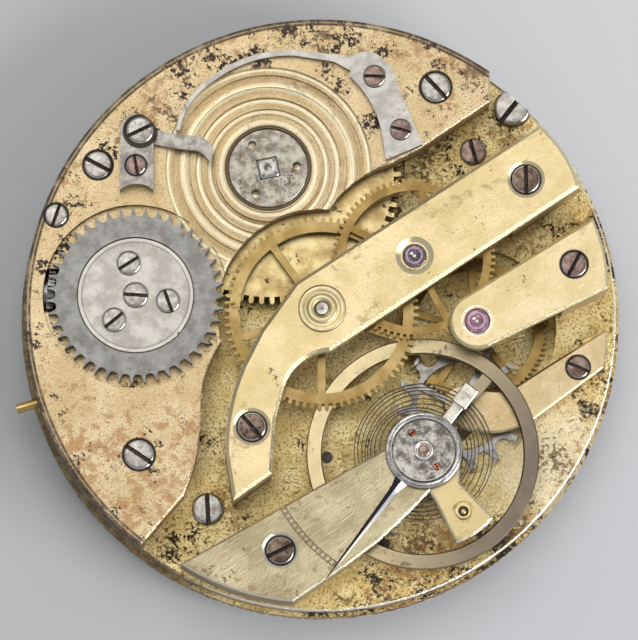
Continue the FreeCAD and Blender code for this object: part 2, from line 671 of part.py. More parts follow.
def make_train_jewels():
    return group([jewel(third_axis, 0.87, 0.15, train_bridge_top - 0.5, train_bridge_top - 0.12, 0.15),
                  jewel(fourth_axis, 0.93, 0.15, fourth_cock_top - 0.5, fourth_cock_top - 0.05, 0.18),
                  jewel(escape_axis, 0.45, 0.13, escape_cock_under + 0.1, escape_cock_top - 0.05, 0.1),
                  jewel(balance_axis, 0.6, 0.13, balance_cock_under + 0.1, balance_cock_top - 0.08, 0.15)])


def make_plate_jewels():
    return group([jewel(third_axis, 0.5, 0.15, 0.95, 1.35, 0.1),
                  jewel(fourth_axis, 0.5, seconds_arbor_radius + running_gap, 0.85, 1.25, 0.1),
                  jewel(escape_axis, 0.5, 0.13, 0.85, 1.25, 0.1),
                  jewel(balance_axis, 0.5, 0.13, 0.85, 1.2, 0.1)])


def make_fourth_setting():
    return ring(fourth_axis, 1.15, 0.93, fourth_cock_under + 0.35, fourth_cock_top + 0.03)


def make_centre_bushing():
    body = ring(centre_axis, 1.2, centre_upper_radius + running_gap, train_bridge_under + 0.05, train_bridge_top - 0.2)
    collar = ring(centre_axis, 1.66, centre_upper_radius + running_gap, train_bridge_top - 0.2, train_bridge_top + 0.05)
    groove = ring(centre_axis, 1.3, 1.05, train_bridge_top - 0.06, train_bridge_top + 0.05)
    return body.fuse(collar).removeSplitter().cut(groove)


def make_dowels():
    tops = {escape_cock_top - 0.3: cock_dowels[1:2]}
    tops[3.6] = barrel_bridge_dowels + train_bridge_dowels + cock_dowels[:1] + cock_dowels[2:]
    return group(disc(place, dowel_radius, dowel_low, top) for top, places in tops.items() for place in places)


def make_rate_pins():
    return group(disc(place, 0.4, 1.6, plate_top + 0.12) for place in rate_pins)


# barrel
def make_barrel_drum():
    module = barrel_module
    flange = prism(toothed_path(barrel_axis, barrel_teeth, wheel_profile(module, barrel_teeth, centre_leaves),
                                barrel_phase), barrel_flange_low, barrel_top)
    drum = disc(barrel_axis, barrel_drum_radius, barrel_low, barrel_top).fuse(flange).removeSplitter()
    cuts = [disc(barrel_axis, barrel_inner_radius, barrel_low + 0.35, 3.1),
            disc(barrel_axis, barrel_cover_radius, 3.1, barrel_top),
            disc(barrel_axis, barrel_pivot_radius + running_gap, barrel_low, barrel_low + 0.35)]
    return cut_all(drum, cuts)


def make_barrel_cover():
    cover = ring(barrel_axis, barrel_cover_radius, barrel_neck_radius + running_gap, 3.1, barrel_top)
    slot_radius = barrel_cover_radius - 1.0
    return cover.cut(capsule(polar(200, slot_radius, barrel_axis), polar(206, slot_radius, barrel_axis), 0.35,
                             3.1, barrel_top))


def make_barrel_arbor():
    arbor = fuse([disc(barrel_axis, barrel_pivot_radius, 0.35, 1.56), disc(barrel_axis, barrel_core_radius, 1.56, 3.04),
                  disc(barrel_axis, barrel_neck_radius, 3.04, 4.7)])
    square = Part.makeBox(1.44, 1.44, 0.75, V(-0.72, -0.72, 4.7))
    square.rotate(V(0, 0, 0), V(0, 0, 1), 12)
    square.translate(V(barrel_axis[0], barrel_axis[1], 0))
    return arbor.fuse(square).removeSplitter()


def make_ratchet_hub():
    hub = disc(barrel_axis, 2.87, 4.72, 5.3)
    hub = bevelled(hub, 5.3, 0.08)
    square = Part.makeBox(1.5, 1.5, 2, V(-0.75, -0.75, 4))
    square.rotate(V(0, 0, 0), V(0, 0, 1), 12)
    square.translate(V(barrel_axis[0], barrel_axis[1], 0))
    holes = [disc(polar(angle, 2.05, barrel_axis), 0.3, 4.72, 5.3) for angle in (4.5, 124.5, 244.5)]
    return cut_all(hub, [square, disc(barrel_axis, 1.25, 4.72, 4.76)] + holes)


# flat springs wound in their own plane
def spiral_strip(centre, end_radius, end_angle, last_sweep, half_turns, pitch, thickness, low, high):
    # half-turn arcs whose centres alternate, so that each joins the next without a kink
    arcs = []
    middle = centre
    radius = end_radius
    stop = end_angle
    start = end_angle + last_sweep
    arcs.append((middle, radius, stop, start))
    for _ in range(half_turns):
        smaller = radius - pitch / 2.0
        middle = polar(start, radius - smaller, middle)
        radius = smaller
        arcs.append((middle, radius, start, start + 180.0))
        start += 180.0
    half = thickness / 2.0
    middle, radius, stop, _ = arcs[0]
    path = [polar(stop, radius + half, middle)]
    path += [arc_to(m, r + half, a, b) for m, r, a, b in arcs]
    middle, radius, _, start = arcs[-1]
    path.append(polar(start, radius - half, middle))
    path += [arc_to(m, r - half, b, a) for m, r, a, b in reversed(arcs)]
    return prism(path, low, high), arcs


def least_gap(arcs, thickness):
    points = []
    travelled = 0.0
    for middle, radius, start, end in arcs:
        for n in range(24):
            points.append((travelled + radius * math.radians(end - start) * n / 24.0,
                           polar(start + (end - start) * n / 24.0, radius, middle)))
        travelled += radius * math.radians(end - start)
    gap = 99.0
    for n, (along_a, a) in enumerate(points):
        for along_b, b in points[n + 1:]:
            if along_b - along_a > 3.0:
                gap = min(gap, distance(a, b))
    return gap - thickness


hairspring_radius = 4.97
hairspring_thickness = 0.07
stud_angle = -57.0
stud_place = polar(stud_angle, hairspring_radius + 0.18, balance_axis)
collet_radius = 0.9
hairspring_half_turns = 15
hairspring_pitch = 2.0 * (hairspring_radius - collet_radius - 0.32) / hairspring_half_turns
mainspring_thickness = 0.2
mainspring_half_turns = 16
mainspring_radius = barrel_inner_radius - mainspring_thickness / 2.0 - 0.15
mainspring_pitch = 2.0 * (mainspring_radius - barrel_core_radius - 0.47) / mainspring_half_turns


def make_hairspring():
    strip, arcs = spiral_strip(balance_axis, hairspring_radius, stud_angle + 4.85, 152.15,
                               hairspring_half_turns, hairspring_pitch,
                               hairspring_thickness, hairspring_low, hairspring_high)
    print("hairspring turns", round(sum(abs(e - s) for _, _, s, e in arcs) / 360.0, 2),
          "least gap", round(least_gap(arcs, hairspring_thickness), 3))
    return strip, arcs


def make_mainspring():
    strip, arcs = spiral_strip(barrel_axis, mainspring_radius, 40.0, 180.0, mainspring_half_turns,
                               mainspring_pitch, mainspring_thickness, 1.6, 3.0)
    print("mainspring turns", round(sum(abs(e - s) for _, _, s, e in arcs) / 360.0, 2),
          "least gap", round(least_gap(arcs, mainspring_thickness), 3))
    return strip


# train
def pivoted_arbor(centre, sections):
    # sections are (radius, low, high) from the bottom up
    return fuse(disc(centre, radius, low, high) for radius, low, high in sections)


def make_centre_pinion():
    leaves = prism(toothed_path(centre_axis, centre_leaves, pinion_profile(barrel_module, centre_leaves),
                                centre_pinion_phase), 2.65, 3.9)
    arbor = pivoted_arbor(centre_axis, [(centre_arbor_radius, cannon_nose_end - 0.15, 1.6),
                                        (centre_pivot_radius, 1.6, 2.55), (0.95, 2.55, 2.65),
                                        (1.1, 3.9, 4.6), (centre_upper_radius, 4.6, train_bridge_top + 0.12)])
    return arbor.fuse(leaves).removeSplitter().cut(cone(centre_axis, 0.0, 0.12, 6.2, train_bridge_top + 0.12))


def make_centre_wheel():
    low = centre_wheel_low
    rim = root_radius(centre_module, centre_teeth) - 0.74
    return crossed_wheel(centre_axis, centre_teeth, wheel_profile(centre_module, centre_teeth, third_leaves),
                         centre_phase, low, low + train_wheel_thickness, (5, 54.0, rim, 1.9, 0.55, 1.1))


def make_third_pinion():
    leaves = prism(toothed_path(third_axis, third_leaves, pinion_profile(centre_module, third_leaves),
                                third_pinion_phase), 3.9, 4.55)
    arbor = pivoted_arbor(third_axis, [(0.12, 0.7, 1.4), (0.45, 1.4, 3.9), (0.5, 3.9, 4.55),
                                       (0.75, 4.55, 5.0), (0.12, 5.0, train_bridge_top - 0.2)])
    return arbor.fuse(leaves).removeSplitter()


def make_third_wheel():
    low = third_wheel_low
    rim = root_radius(third_module, third_teeth) - 0.56
    return crossed_wheel(third_axis, third_teeth, wheel_profile(third_module, third_teeth, fourth_leaves),
                         third_phase, low, low + train_wheel_thickness, (5, 10.0, rim, 1.5, 0.5, 0.75))


def make_fourth_pinion():
    leaves = prism(toothed_path(fourth_axis, fourth_leaves, pinion_profile(third_module, fourth_leaves),
                                fourth_pinion_phase), 4.45, 5.0)
    arbor = pivoted_arbor(fourth_axis, [(seconds_post_radius, seconds_post_end, seconds_arbor_low),
                                        (seconds_arbor_radius, seconds_arbor_low, 1.32),
                                        (0.7, 1.32, 1.55), (0.6, 1.55, 1.95), (0.4, 1.95, 4.45), (0.4, 4.45, 5.0),
                                        (0.12, 5.0, fourth_cock_top - 0.15)])
    return arbor.fuse(leaves).removeSplitter()


def make_fourth_wheel():
    low = fourth_wheel_low
    rim = root_radius(fourth_module, fourth_teeth) - 0.66
    return crossed_wheel(fourth_axis, fourth_teeth, wheel_profile(fourth_module, fourth_teeth, escape_leaves),
                         fourth_phase, low, low + train_wheel_thickness, (5, 20.0, rim, 1.3, 0.45, 0.6))


# cylinder escapement
tooth_phase = heading(escape_axis, balance_axis)
cylinder_outer = 0.49
cylinder_inner = 0.42


def make_escape_pinion():
    leaves = prism(toothed_path(escape_axis, escape_leaves, pinion_profile(fourth_module, escape_leaves),
                                escape_pinion_phase), 1.42, 1.93)
    arbor = pivoted_arbor(escape_axis, [(0.1, 0.7, 1.36), (0.28, 1.36, 1.93), (0.5, 1.93, 2.0), (0.35, 2.0, 2.25),
                                        (0.25, 2.25, 2.75), (0.1, 2.75, escape_cock_top - 0.06)])
    return arbor.fuse(leaves).removeSplitter()


def make_escape_wheel():
    # a thin star: scallops between the arms, a pillar on each arm and a wedge tooth on each pillar
    low = escape_base_low
    step = 360.0 / escape_teeth
    cuts = [prism(path, low, low + 0.12) for path in windows(escape_axis, 4, tooth_phase + 12,
                                                      pillar_circle - 1.3, 1.05, 0.42)]
    cuts += [disc(polar(tooth_phase + (n + 0.5) * step, pillar_circle - 0.32, escape_axis), 0.62, low, low + 0.12)
             for n in range(escape_teeth)]
    cuts.append(disc(escape_axis, 0.35, low, low + 0.12))
    base = disc(escape_axis, pillar_circle - 0.2, low, low + 0.12).cut(group(cuts))
    solids = [base]
    for n in range(escape_teeth):
        angle = tooth_phase + n * step
        degree = math.degrees(1 / pillar_circle)
        tongue = [(-0.4, -0.16), (-0.4, 0.16), (0.12, 0.12), (0.12, -0.12)]
        head = [(-0.12, 0.1), (-0.04, 0.32), (tooth_reach, -0.32), (0.0, -0.32), (-0.12, -0.1)]
        tongue, head = [[polar(angle + along * degree, pillar_circle + out, escape_axis) for out, along in shape]
                        for shape in (tongue, head)]
        solids.append(prism(tongue, low, low + 0.12))
        solids.append(disc(polar(angle, pillar_circle, escape_axis), 0.1, low + 0.06, escape_head_low + 0.05))
        solids.append(prism(head, escape_head_low, escape_head_low + 0.1))
    return fuse(solids)


def make_balance_cylinder():
    # the shell is cut away on the wheel's side at the teeth, and to a narrow strip at the pillars;
    # the opening is wide enough for the wheel to be turned past by hand
    toward = heading(balance_axis, escape_axis)
    shell = ring(balance_axis, cylinder_outer, cylinder_inner, 1.5, 3.2)
    def opening(half_angle, low, high):
        return prism([polar(toward + half_angle, 2, balance_axis), polar(toward + 60, 4, balance_axis),
                      polar(toward - 60, 4, balance_axis), polar(toward - half_angle, 2, balance_axis),
                      balance_axis], low, high)

    shell = shell.cut(opening(115.0, 2.42, 2.82)).cut(opening(145.0, 1.84, 2.42))
    plugs = [disc(balance_axis, 0.1, 0.7, 1.5), disc(balance_axis, cylinder_inner, 1.5, 1.75),
             disc(balance_axis, cylinder_inner, 2.95, 3.2), disc(balance_axis, 0.7, 3.2, 3.45),
             disc(balance_axis, 0.4, 3.45, 4.0), disc(balance_axis, 0.35, 4.0, 4.62),
             disc(balance_axis, 0.1, 4.62, balance_cock_top - 0.03)]
    return shell.multiFuse(plugs).removeSplitter()


def make_balance_wheel():
    inner = balance_radius - balance_rim_width
    rim = ring(balance_axis, balance_radius, inner, balance_low, balance_high)
    rim = rim.makeChamfer(0.08, top_edges(rim, balance_high))
    reach = inner + 0.1
    arms = capsule(polar(50.0, reach, balance_axis), polar(230.0, reach, balance_axis), 0.42, 3.55, 3.85)
    hub = disc(balance_axis, 1.05, 3.45, 3.9)
    return fuse([rim, arms, hub]).cut(disc(balance_axis, 0.4, 3.4, 4.0))


def make_collet(arcs):
    middle, radius, _, start = arcs[-1]
    inner_end = polar(start, radius, middle)
    collet = ring(balance_axis, collet_radius, 0.35, hairspring_low - 0.15, hairspring_high + 0.1)
    slit = capsule(balance_axis, polar(heading(balance_axis, inner_end) + 150, 2, balance_axis), 0.06, 4.0, 4.6)
    return collet.cut(slit)


def make_stud():
    return disc(stud_place, 0.42, 4.1, balance_cock_top)


def make_regulator():
    # a ring around the endstone cap, a short arm with the curb pins and a long pointed index
    low = balance_cock_top + 0.03
    ring_top = 5.9
    arm_angle = 53.0
    along = polar(arm_angle, 1.0)
    aside = polar(arm_angle + 90.0, 1.0)

    def local(x, y):
        return (balance_axis[0] + x * along[0] + y * aside[0], balance_axis[1] + x * along[1] + y * aside[1])

    body = ring(balance_axis, 2.75, 2.26, low, ring_top)
    body = body.makeChamfer(0.15, top_edges(body, ring_top))
    arm = prism([local(2.4, -0.52), local(5.75, -0.58), local(5.75, 0.58), local(2.4, 0.52)], low, 5.7)
    index = prism([local(-2.4, 0.62), local(-3.6, 0.4), local(-12.1, 0.05), local(-12.1, -0.02),
                   local(-3.6, -0.42), local(-2.4, -0.68)], low, 5.7)
    pins = [disc(local(hairspring_radius + side, 0), 0.1, 4.15, 5.76) for side in (-0.24, 0.24)]
    return fuse([body, arm, index] + pins)


def make_endstone_cap():
    cap = disc(balance_axis, 2.2, balance_cock_top, 5.8)
    cap = cap.makeChamfer(0.06, top_edges(cap, 5.8))
    cuts = [disc(balance_axis, 0.72, 5.5, 5.8), disc(balance_axis, 0.3, balance_cock_top, 5.5)]
    cuts += screw_holes(endstone_screws, 5.4, 5.8)
    return cut_all(cap, cuts)


def make_endstone():
    stone = disc(balance_axis, 0.72, 5.5, 5.78)
    return stone.makeChamfer(0.08, top_edges(stone, 5.78))


# winding work
def make_crown_wheel():
    # slender hooked teeth around a flat steel ring
    teeth = 43
    tooth = [(5.72, -3.35), (5.76, -2.1), (6.02, -1.15), (6.28, -0.35), (6.35, 0.15), (6.3, 0.45),
             (6.0, 0.75), (5.76, 1.6), (5.7, 3.2)]
    body = prism(toothed_path(crown_axis, teeth, tooth, stem_angle), crown_low, crown_high)
    return cut_all(body, [disc(crown_axis, 3.0 + running_gap, crown_low, crown_high),
                          disc(crown_axis, 4.15 + 0.05, 5.42, crown_high)])


def make_crown_core():
    core = disc(crown_axis, 3.0, 4.8, 5.45)
    return cut_all(core, [disc(place, shank + 0.02, 4.8, 5.45) for place, _, _, _, shank, _, _ in crown_cap_screws])


def make_crown_cap():
    cap = disc(crown_axis, 4.15, 5.45, crown_high)
    cap = cap.makeChamfer(0.06, top_edges(cap, crown_high))
    return cut_all(cap, screw_holes(crown_cap_screws, 5.45, crown_high))


def make_click():
    pivot = click_screws[0][0]
    hub = disc(pivot, 1.15, 5.36, 5.9)
    arm = prism(traced([(-12.9, 13.4), (-11.0, 12.75, -9.3, 12.55), (-8.3, 12.25, -7.78, 11.65), (-7.93, 10.25),
                        (-8.35, 11.1, -9.3, 11.5), (-10.6, 11.65, -12.2, 11.95)]), 5.4, 5.85)
    return hub.fuse(arm).removeSplitter().cut(disc(pivot, 0.4 + running_gap, 5.3, 6.0))


def make_click_plate():
    # a stepped block: it stands on the bridge at one end and covers the click's hub at the other
    cover = prism(traced([(-14.42, 8.5), (-13.2, 8.95, -12.04, 8.5), (-12.04, 12.9),
                          (-12.99, 14.0, -14.42, 13.0)]), 5.94, 6.35)
    block = prism(traced([(-14.42, 8.5), (-13.2, 8.95, -12.04, 8.5), (-12.04, 11.35), (-14.42, 11.35)]),
                  barrel_bridge_top, 5.94)
    plate = cover.fuse(block).removeSplitter()
    cuts = [disc(click_screws[0][0], 0.46, 5.9, 6.4), disc(click_screws[1][0], 0.42, 5.3, 6.4),
            disc(click_screws[1][0], 0.76, 6.1, 6.4)]
    return cut_all(plate, cuts)


def make_click_spring():
    # a foot plate with two screws, and a tapering arm that runs round to the click
    foot = prism(traced([(2.2, 18.35), (3.0, 18.7, 4.0, 18.5), (5.0, 17.6), (5.79, 15.34), (7.23, 11.98),
                         (4.56, 10.85), (4.3, 12.6), (3.6, 14.8, 2.0, 16.9)]), barrel_bridge_top, 5.9)
    arm = prism(traced([(2.3, 17.2), (0.9, 17.98), (-1.86, 18.42), (-5.0, 18.0, -7.6, 16.65),
                        (-9.2, 15.2, -10.2, 12.9), (-10.45, 13.0), (-9.45, 15.35, -7.85, 16.9),
                        (-5.2, 18.35, -1.86, 18.82), (1.0, 18.5), (2.6, 18.4)]), 5.4, 5.78)
    spring = foot.fuse(arm).removeSplitter()
    return cut_all(spring, screw_holes(spring_foot_screws, 5.3, 5.9))


pinion_teeth = 16


def make_winding_pinion():
    # built on the stem's line: teeth that reach the crown wheel and a ratchet face for the clutch
    tip = winding_pinion_tip
    face = winding_pinion_face
    tooth = [(tip - 0.45, -7.5), (tip - 0.3, -4.6), (tip, -2.9), (tip, 2.9), (tip - 0.3, 4.6), (tip - 0.45, 7.5)]
    wheel = prism(toothed_path((0, 0), pinion_teeth, tooth, 90.0 + 180.0 / pinion_teeth), face - 0.8, face - 0.3)
    hub = disc((0, 0), 1.45, face - 1.3, face)
    cuts = [disc((0, 0), stem_neck_radius, face - 2, face + 1)] + breguet_notches(face - 1.3, 1.0)
    return lay_on_stem(cut_all(fuse([wheel, hub]), cuts))


def breguet_notches(face, direction, depth=0.3):
    # wedge-shaped spaces between the ratchet teeth of a face, twelve around
    notches = []
    for n in range(12):
        angle = math.radians(30.0 * n)
        wedge = Part.makePolygon([V(0.62, 0, face - direction * 0.01), V(1.6, 0, face - direction * 0.01),
                                  V(1.6, 0, face + direction * depth), V(0.62, 0, face + direction * depth),
                                  V(0.62, 0, face - direction * 0.01)])
        notch = Part.Face(wedge).extrude(V(0, 0.36, 0))
        notch.rotate(V(0, 0, 0), V(0, 0, 1), math.degrees(angle))
        notches.append(notch)
    return notches


def lay_on_stem(shape):
    # turns a shape built along +Z into the stem's line at the stem's height
    shape.rotate(V(0, 0, 0), V(0, 1, 0), 90)
    shape.rotate(V(0, 0, 0), V(0, 0, 1), stem_angle)
    shape.translate(V(0, 0, stem_height))
    return shape


def make_clutch_wheel():
    # slides on the stem's square: ratchet face outward, groove for the yoke, contrate teeth inward
    low = clutch_inner
    body = fuse([disc((0, 0), 1.56, low, low + 0.45), disc((0, 0), 1.45, low + 0.45, groove_along - 0.3),
                 disc((0, 0), 0.95, groove_along - 0.3, groove_along + 0.3),
                 disc((0, 0), 1.45, groove_along + 0.3, low + 2.25)])
    spaces = []
    for n in range(16):
        space = Part.makeBox(1.2, 0.3, 0.46, V(0.85, -0.15, low - 0.01))
        space.rotate(V(0, 0, 0), V(0, 0, 1), 22.5 * n)
        spaces.append(space)
    square = Part.makeBox(stem_square, stem_square, 4, V(-stem_square / 2.0, -stem_square / 2.0, low - 0.8))
    return lay_on_stem(cut_all(body, spaces + [square]))


def make_yoke():
    # a bent lever on the dial side: pivot, finger in the clutch's groove, pad for the setting pin
    groove = on_stem(groove_along)
    path = fuse([capsule(yoke_pivot, groove, 0.6, yoke_low, yoke_high),
                 capsule(groove, yoke_pad, 0.5, yoke_low, yoke_high), disc(yoke_pivot, 0.95, yoke_low, yoke_high)])
    finger = disc(groove, 0.22, yoke_high, 1.95)
    return path.fuse(finger).removeSplitter().cut(disc(yoke_pivot, 0.45, 0, 2))


def make_yoke_spring():
    # a leaf that bends back from its screw to the yoke
    foot = disc(yoke_spring_screw, 0.75, yoke_low, yoke_high)
    # the tip rests beside the yoke's pad
    tip = (yoke_pad[0] + 0.68, yoke_pad[1] + 1.5)
    path = [at(-12.8, -6.2), at(-15.4, -5.75) + (tip[0] - 0.043, tip[1] - 0.1), (tip[0] + 0.047, tip[1] + 0.1),
            at(-15.3, -5.45) + at(-12.9, -5.9)]
    leaf = prism(path, yoke_low + 0.05, yoke_high - 0.05)
    return foot.fuse(leaf).removeSplitter().cut(disc(yoke_spring_screw, 0.32, 0, 2))


def make_keyless_screws():
    yoke_screw = fuse([disc(yoke_pivot, 0.4, 0.3, 2.0), disc(yoke_pivot, 0.75, 0.05, 0.3)])
    spring_screw = fuse([disc(yoke_spring_screw, 0.3, 0.3, 1.9), disc(yoke_spring_screw, 0.6, 0.05, 0.3)])
    studs = [disc(axis, 0.35, top, 2.2) for axis, top in
             ((minute_axis, 0.2), (intermediate_axis, 0.7), (setting_axis, 0.7))]
    heads = [disc(axis, 0.8, 0.45, 0.7) for axis in (intermediate_axis, setting_axis)]
    return group([yoke_screw, spring_screw, studs[0], studs[1].fuse(heads[0]).removeSplitter(),
                  studs[2].fuse(heads[1]).removeSplitter()])


def make_setting_pin():
    outward = polar(setting_pin_angle, 1.0)
    along = V(outward[0], outward[1], 0)
    foot = V(setting_pin_inner * outward[0], setting_pin_inner * outward[1], setting_pin_height)
    return Part.makeCylinder(setting_pin_radius, setting_pin_outer - setting_pin_inner, foot, along)


# motion work
def make_cannon_pinion():
    leaves = prism(toothed_path(centre_axis, cannon_leaves, pinion_profile(motion_module, cannon_leaves),
                                cannon_phase), 0.75, motion_high + 0.05)
    shoulder = hour_pipe_end - 0.03
    pipe = fuse([disc(centre_axis, cannon_body_radius, shoulder, 0.75),
                 disc(centre_axis, cannon_nose_radius, cannon_nose_end, shoulder)])
    return pipe.fuse(leaves).removeSplitter().cut(disc(centre_axis, centre_arbor_radius + 0.02, cannon_nose_end, 1.6))


def make_minute_wheel():
    module = motion_module
    wheel = prism(toothed_path(minute_axis, minute_teeth, wheel_profile(module, minute_teeth, cannon_leaves),
                               minute_phase), motion_low, motion_high)
    pinion = prism(toothed_path(minute_axis, minute_leaves, pinion_profile(hour_module, minute_leaves),
                                minute_pinion_phase), 0.3, motion_low)
    return wheel.fuse(pinion).removeSplitter().cut(disc(minute_axis, 0.35 + running_gap, 0, 2))


def make_hour_wheel():
    wheel = prism(toothed_path(centre_axis, hour_teeth, wheel_profile(hour_module, hour_teeth, minute_leaves),
                               hour_phase), 0.35, 0.65)
    pipe = disc(centre_axis, hour_pipe_radius, hour_pipe_end, 0.65)
    return wheel.fuse(pipe).removeSplitter().cut(disc(centre_axis, cannon_body_radius + running_gap, -2, 1))


def make_setting_wheel(axis, teeth, phase):
    wheel = prism(toothed_path(axis, teeth, wheel_profile(motion_module, teeth, minute_teeth), phase),
                  motion_low, motion_high)
    hub = disc(axis, 0.9, 0.75, motion_low)
    return wheel.fuse(hub).removeSplitter().cut(disc(axis, 0.35 + running_gap, 0, 2))


# dial
def make_dial_copper():
    copper = disc(centre_axis, flange_radius - 0.08, dial_copper_low, dial_copper_high)
    feet = [disc(place, dial_foot_radius, dial_copper_high, 1.9) for place in dial_feet]
    copper = copper.multiFuse(feet)
    return cut_all(copper, [disc(centre_axis, dial_centre_hole, -1, 0), disc(fourth_axis, seconds_seat, -1, 0)])


def make_dial_enamel():
    # the face, with a few chips out of its rim, and the thin coat on the back
    front = disc(centre_axis, flange_radius, dial_front, dial_copper_low)
    front = front.makeChamfer(0.1, [e for e in front.Edges if abs(e.BoundBox.ZMax - dial_front) < 1e-4
                                    and abs(e.BoundBox.ZMin - dial_front) < 1e-4])
    chips = [disc(polar(angle, flange_radius + 0.25, centre_axis), size, -1, 0) for angle, size in
             ((226.0, 0.5), (229.5, 0.42), (233.5, 0.55), (243.5, 0.45), (246.5, 0.5))]
    front = cut_all(front, [disc(centre_axis, dial_centre_hole, -1, 0), disc(fourth_axis, seconds_hole, -1, 0)] + chips)
    back = disc(centre_axis, plate_radius - 0.3, dial_copper_high, 0.0)
    back = cut_all(back, [disc(centre_axis, dial_centre_hole, -1, 0.1), disc(fourth_axis, seconds_seat, -1, 0.1)]
                   + [disc(place, dial_foot_radius + 0.05, -1, 0.1) for place in dial_feet])
    return group([front, back])


def make_seconds_dial():
    plate = disc(fourth_axis, seconds_seat, dial_copper_low, dial_copper_high)
    return cut_all(plate, [disc(fourth_axis, 0.45, -1, 0), disc(fourth_axis, 4.1, dial_copper_low, -0.42)])


def make_case_screw():
    # a large flat head that turns over the case band, shown with its flat side outward, clear of the band
    place = case_screw_place
    head = disc(place, 1.3, 2.45, 3.05)
    flat = plate_radius - distance(centre_axis, place) - 0.05
    cutter = Part.makeBox(4, 6, 2, V(flat, -3, 2))
    cutter.rotate(V(0, 0, 0), V(0, 0, 1), heading(centre_axis, place))
    cutter.translate(V(place[0], place[1], 0))
    head = head.cut(cutter)
    body = head.fuse(disc(place, 0.55, 0.85, 2.45)).removeSplitter()
    slot = Part.makeBox(4, 0.32, 0.3, V(-2, -0.16, 2.8))
    slot.rotate(V(0, 0, 0), V(0, 0, 1), 52.0)
    slot.translate(V(place[0], place[1], 0))
    return body.cut(slot)


def main():
    hairspring, hairspring_arcs = make_hairspring()
    nodes = {
        "main_plate": make_main_plate(),
        "barrel_bridge": make_barrel_bridge(),
        "train_bridge": make_train_bridge(),
        "fourth_cock": make_fourth_cock(),
        "escape_cock": make_escape_cock(),
        "balance_cock": make_balance_cock(),
        "train_jewels": make_train_jewels(),
        "plate_jewels": make_plate_jewels(),
        "fourth_jewel_setting": make_fourth_setting(),
        "centre_bushing": make_centre_bushing(),
        "steady_pins": make_dowels(),
        "plate_studs": make_rate_pins(),
        "barrel_drum": make_barrel_drum(),
        "barrel_cover": make_barrel_cover(),
        "barrel_arbor": make_barrel_arbor(),
        "mainspring": make_mainspring(),
        "ratchet_hub": make_ratchet_hub(),
        "centre_wheel": make_centre_wheel(),
        "centre_pinion": make_centre_pinion(),
        "third_wheel": make_third_wheel(),
        "third_pinion": make_third_pinion(),
        "fourth_wheel": make_fourth_wheel(),
        "fourth_pinion": make_fourth_pinion(),
        "escape_wheel": make_escape_wheel(),
        "escape_pinion": make_escape_pinion(),
        "balance_wheel": make_balance_wheel(),
        "balance_cylinder": make_balance_cylinder(),
        "hairspring": hairspring,
        "hairspring_collet": make_collet(hairspring_arcs),
        "hairspring_stud": make_stud(),
        "regulator": make_regulator(),
        "endstone_cap": make_endstone_cap(),
        "endstone": make_endstone(),
        "endstone_screws": group(screw(spec) for spec in endstone_screws),
        "crown_wheel": make_crown_wheel(),
        "crown_wheel_core": make_crown_core(),
        "crown_wheel_cap": make_crown_cap(),
        "crown_cap_screws": group(screw(spec) for spec in crown_cap_screws),
        "click": make_click(),
        "click_plate": make_click_plate(),
        "click_screws": group(screw(spec) for spec in click_screws),
        "click_spring": make_click_spring(),
        "click_spring_screws": group(screw(spec) for spec in spring_foot_screws),
        "winding_pinion": make_winding_pinion(),
        "clutch_wheel": make_clutch_wheel(),
        "yoke": make_yoke(),
        "yoke_spring": make_yoke_spring(),
        "keyless_screws": make_keyless_screws(),
        "setting_pin": make_setting_pin(),
        "setting_wheel": make_setting_wheel(setting_axis, setting_teeth, setting_phase),
        "intermediate_wheel": make_setting_wheel(intermediate_axis, intermediate_teeth, intermediate_phase),
        "cannon_pinion": make_cannon_pinion(),
        "minute_wheel": make_minute_wheel(),
        "hour_wheel": make_hour_wheel(),
        "dial_copper": make_dial_copper(),
        "dial_enamel": make_dial_enamel(),
        "seconds_dial": make_seconds_dial(),
        "bridge_screws": group(screw(spec) for spec in barrel_bridge_screws + train_bridge_screws),
        "cock_screws": group(screw(spec) for spec in cock_screws),
        "plate_screws": group([screw(spec) for spec in plate_screws] + [make_case_screw()]),
    }
    for name, shape in nodes.items():
        shape.exportStep("parts/" + name + ".step")
        print(name, len(shape.Solids), round(shape.Volume, 3), shape.isValid())
    print("nodes", len(nodes))


main()
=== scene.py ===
import math

import bpy
import numpy as np
from mathutils import Matrix, Vector


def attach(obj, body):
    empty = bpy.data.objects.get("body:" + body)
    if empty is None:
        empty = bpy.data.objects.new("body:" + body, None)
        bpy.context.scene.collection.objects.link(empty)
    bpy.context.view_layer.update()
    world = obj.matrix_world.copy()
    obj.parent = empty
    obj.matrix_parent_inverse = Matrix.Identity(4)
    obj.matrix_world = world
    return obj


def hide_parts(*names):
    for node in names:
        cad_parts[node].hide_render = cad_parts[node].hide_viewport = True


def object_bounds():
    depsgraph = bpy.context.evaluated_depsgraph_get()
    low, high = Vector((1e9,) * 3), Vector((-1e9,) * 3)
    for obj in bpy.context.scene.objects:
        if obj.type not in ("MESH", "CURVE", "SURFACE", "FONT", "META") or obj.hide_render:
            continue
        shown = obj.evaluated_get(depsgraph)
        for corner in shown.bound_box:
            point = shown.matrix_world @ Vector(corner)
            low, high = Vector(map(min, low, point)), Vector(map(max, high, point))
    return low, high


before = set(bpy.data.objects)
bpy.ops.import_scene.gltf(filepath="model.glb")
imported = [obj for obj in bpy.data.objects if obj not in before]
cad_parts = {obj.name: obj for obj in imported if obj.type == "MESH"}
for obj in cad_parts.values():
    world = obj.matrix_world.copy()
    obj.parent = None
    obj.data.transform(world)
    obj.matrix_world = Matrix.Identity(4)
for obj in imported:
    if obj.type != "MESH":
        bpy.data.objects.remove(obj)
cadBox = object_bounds()
mm = 0.001

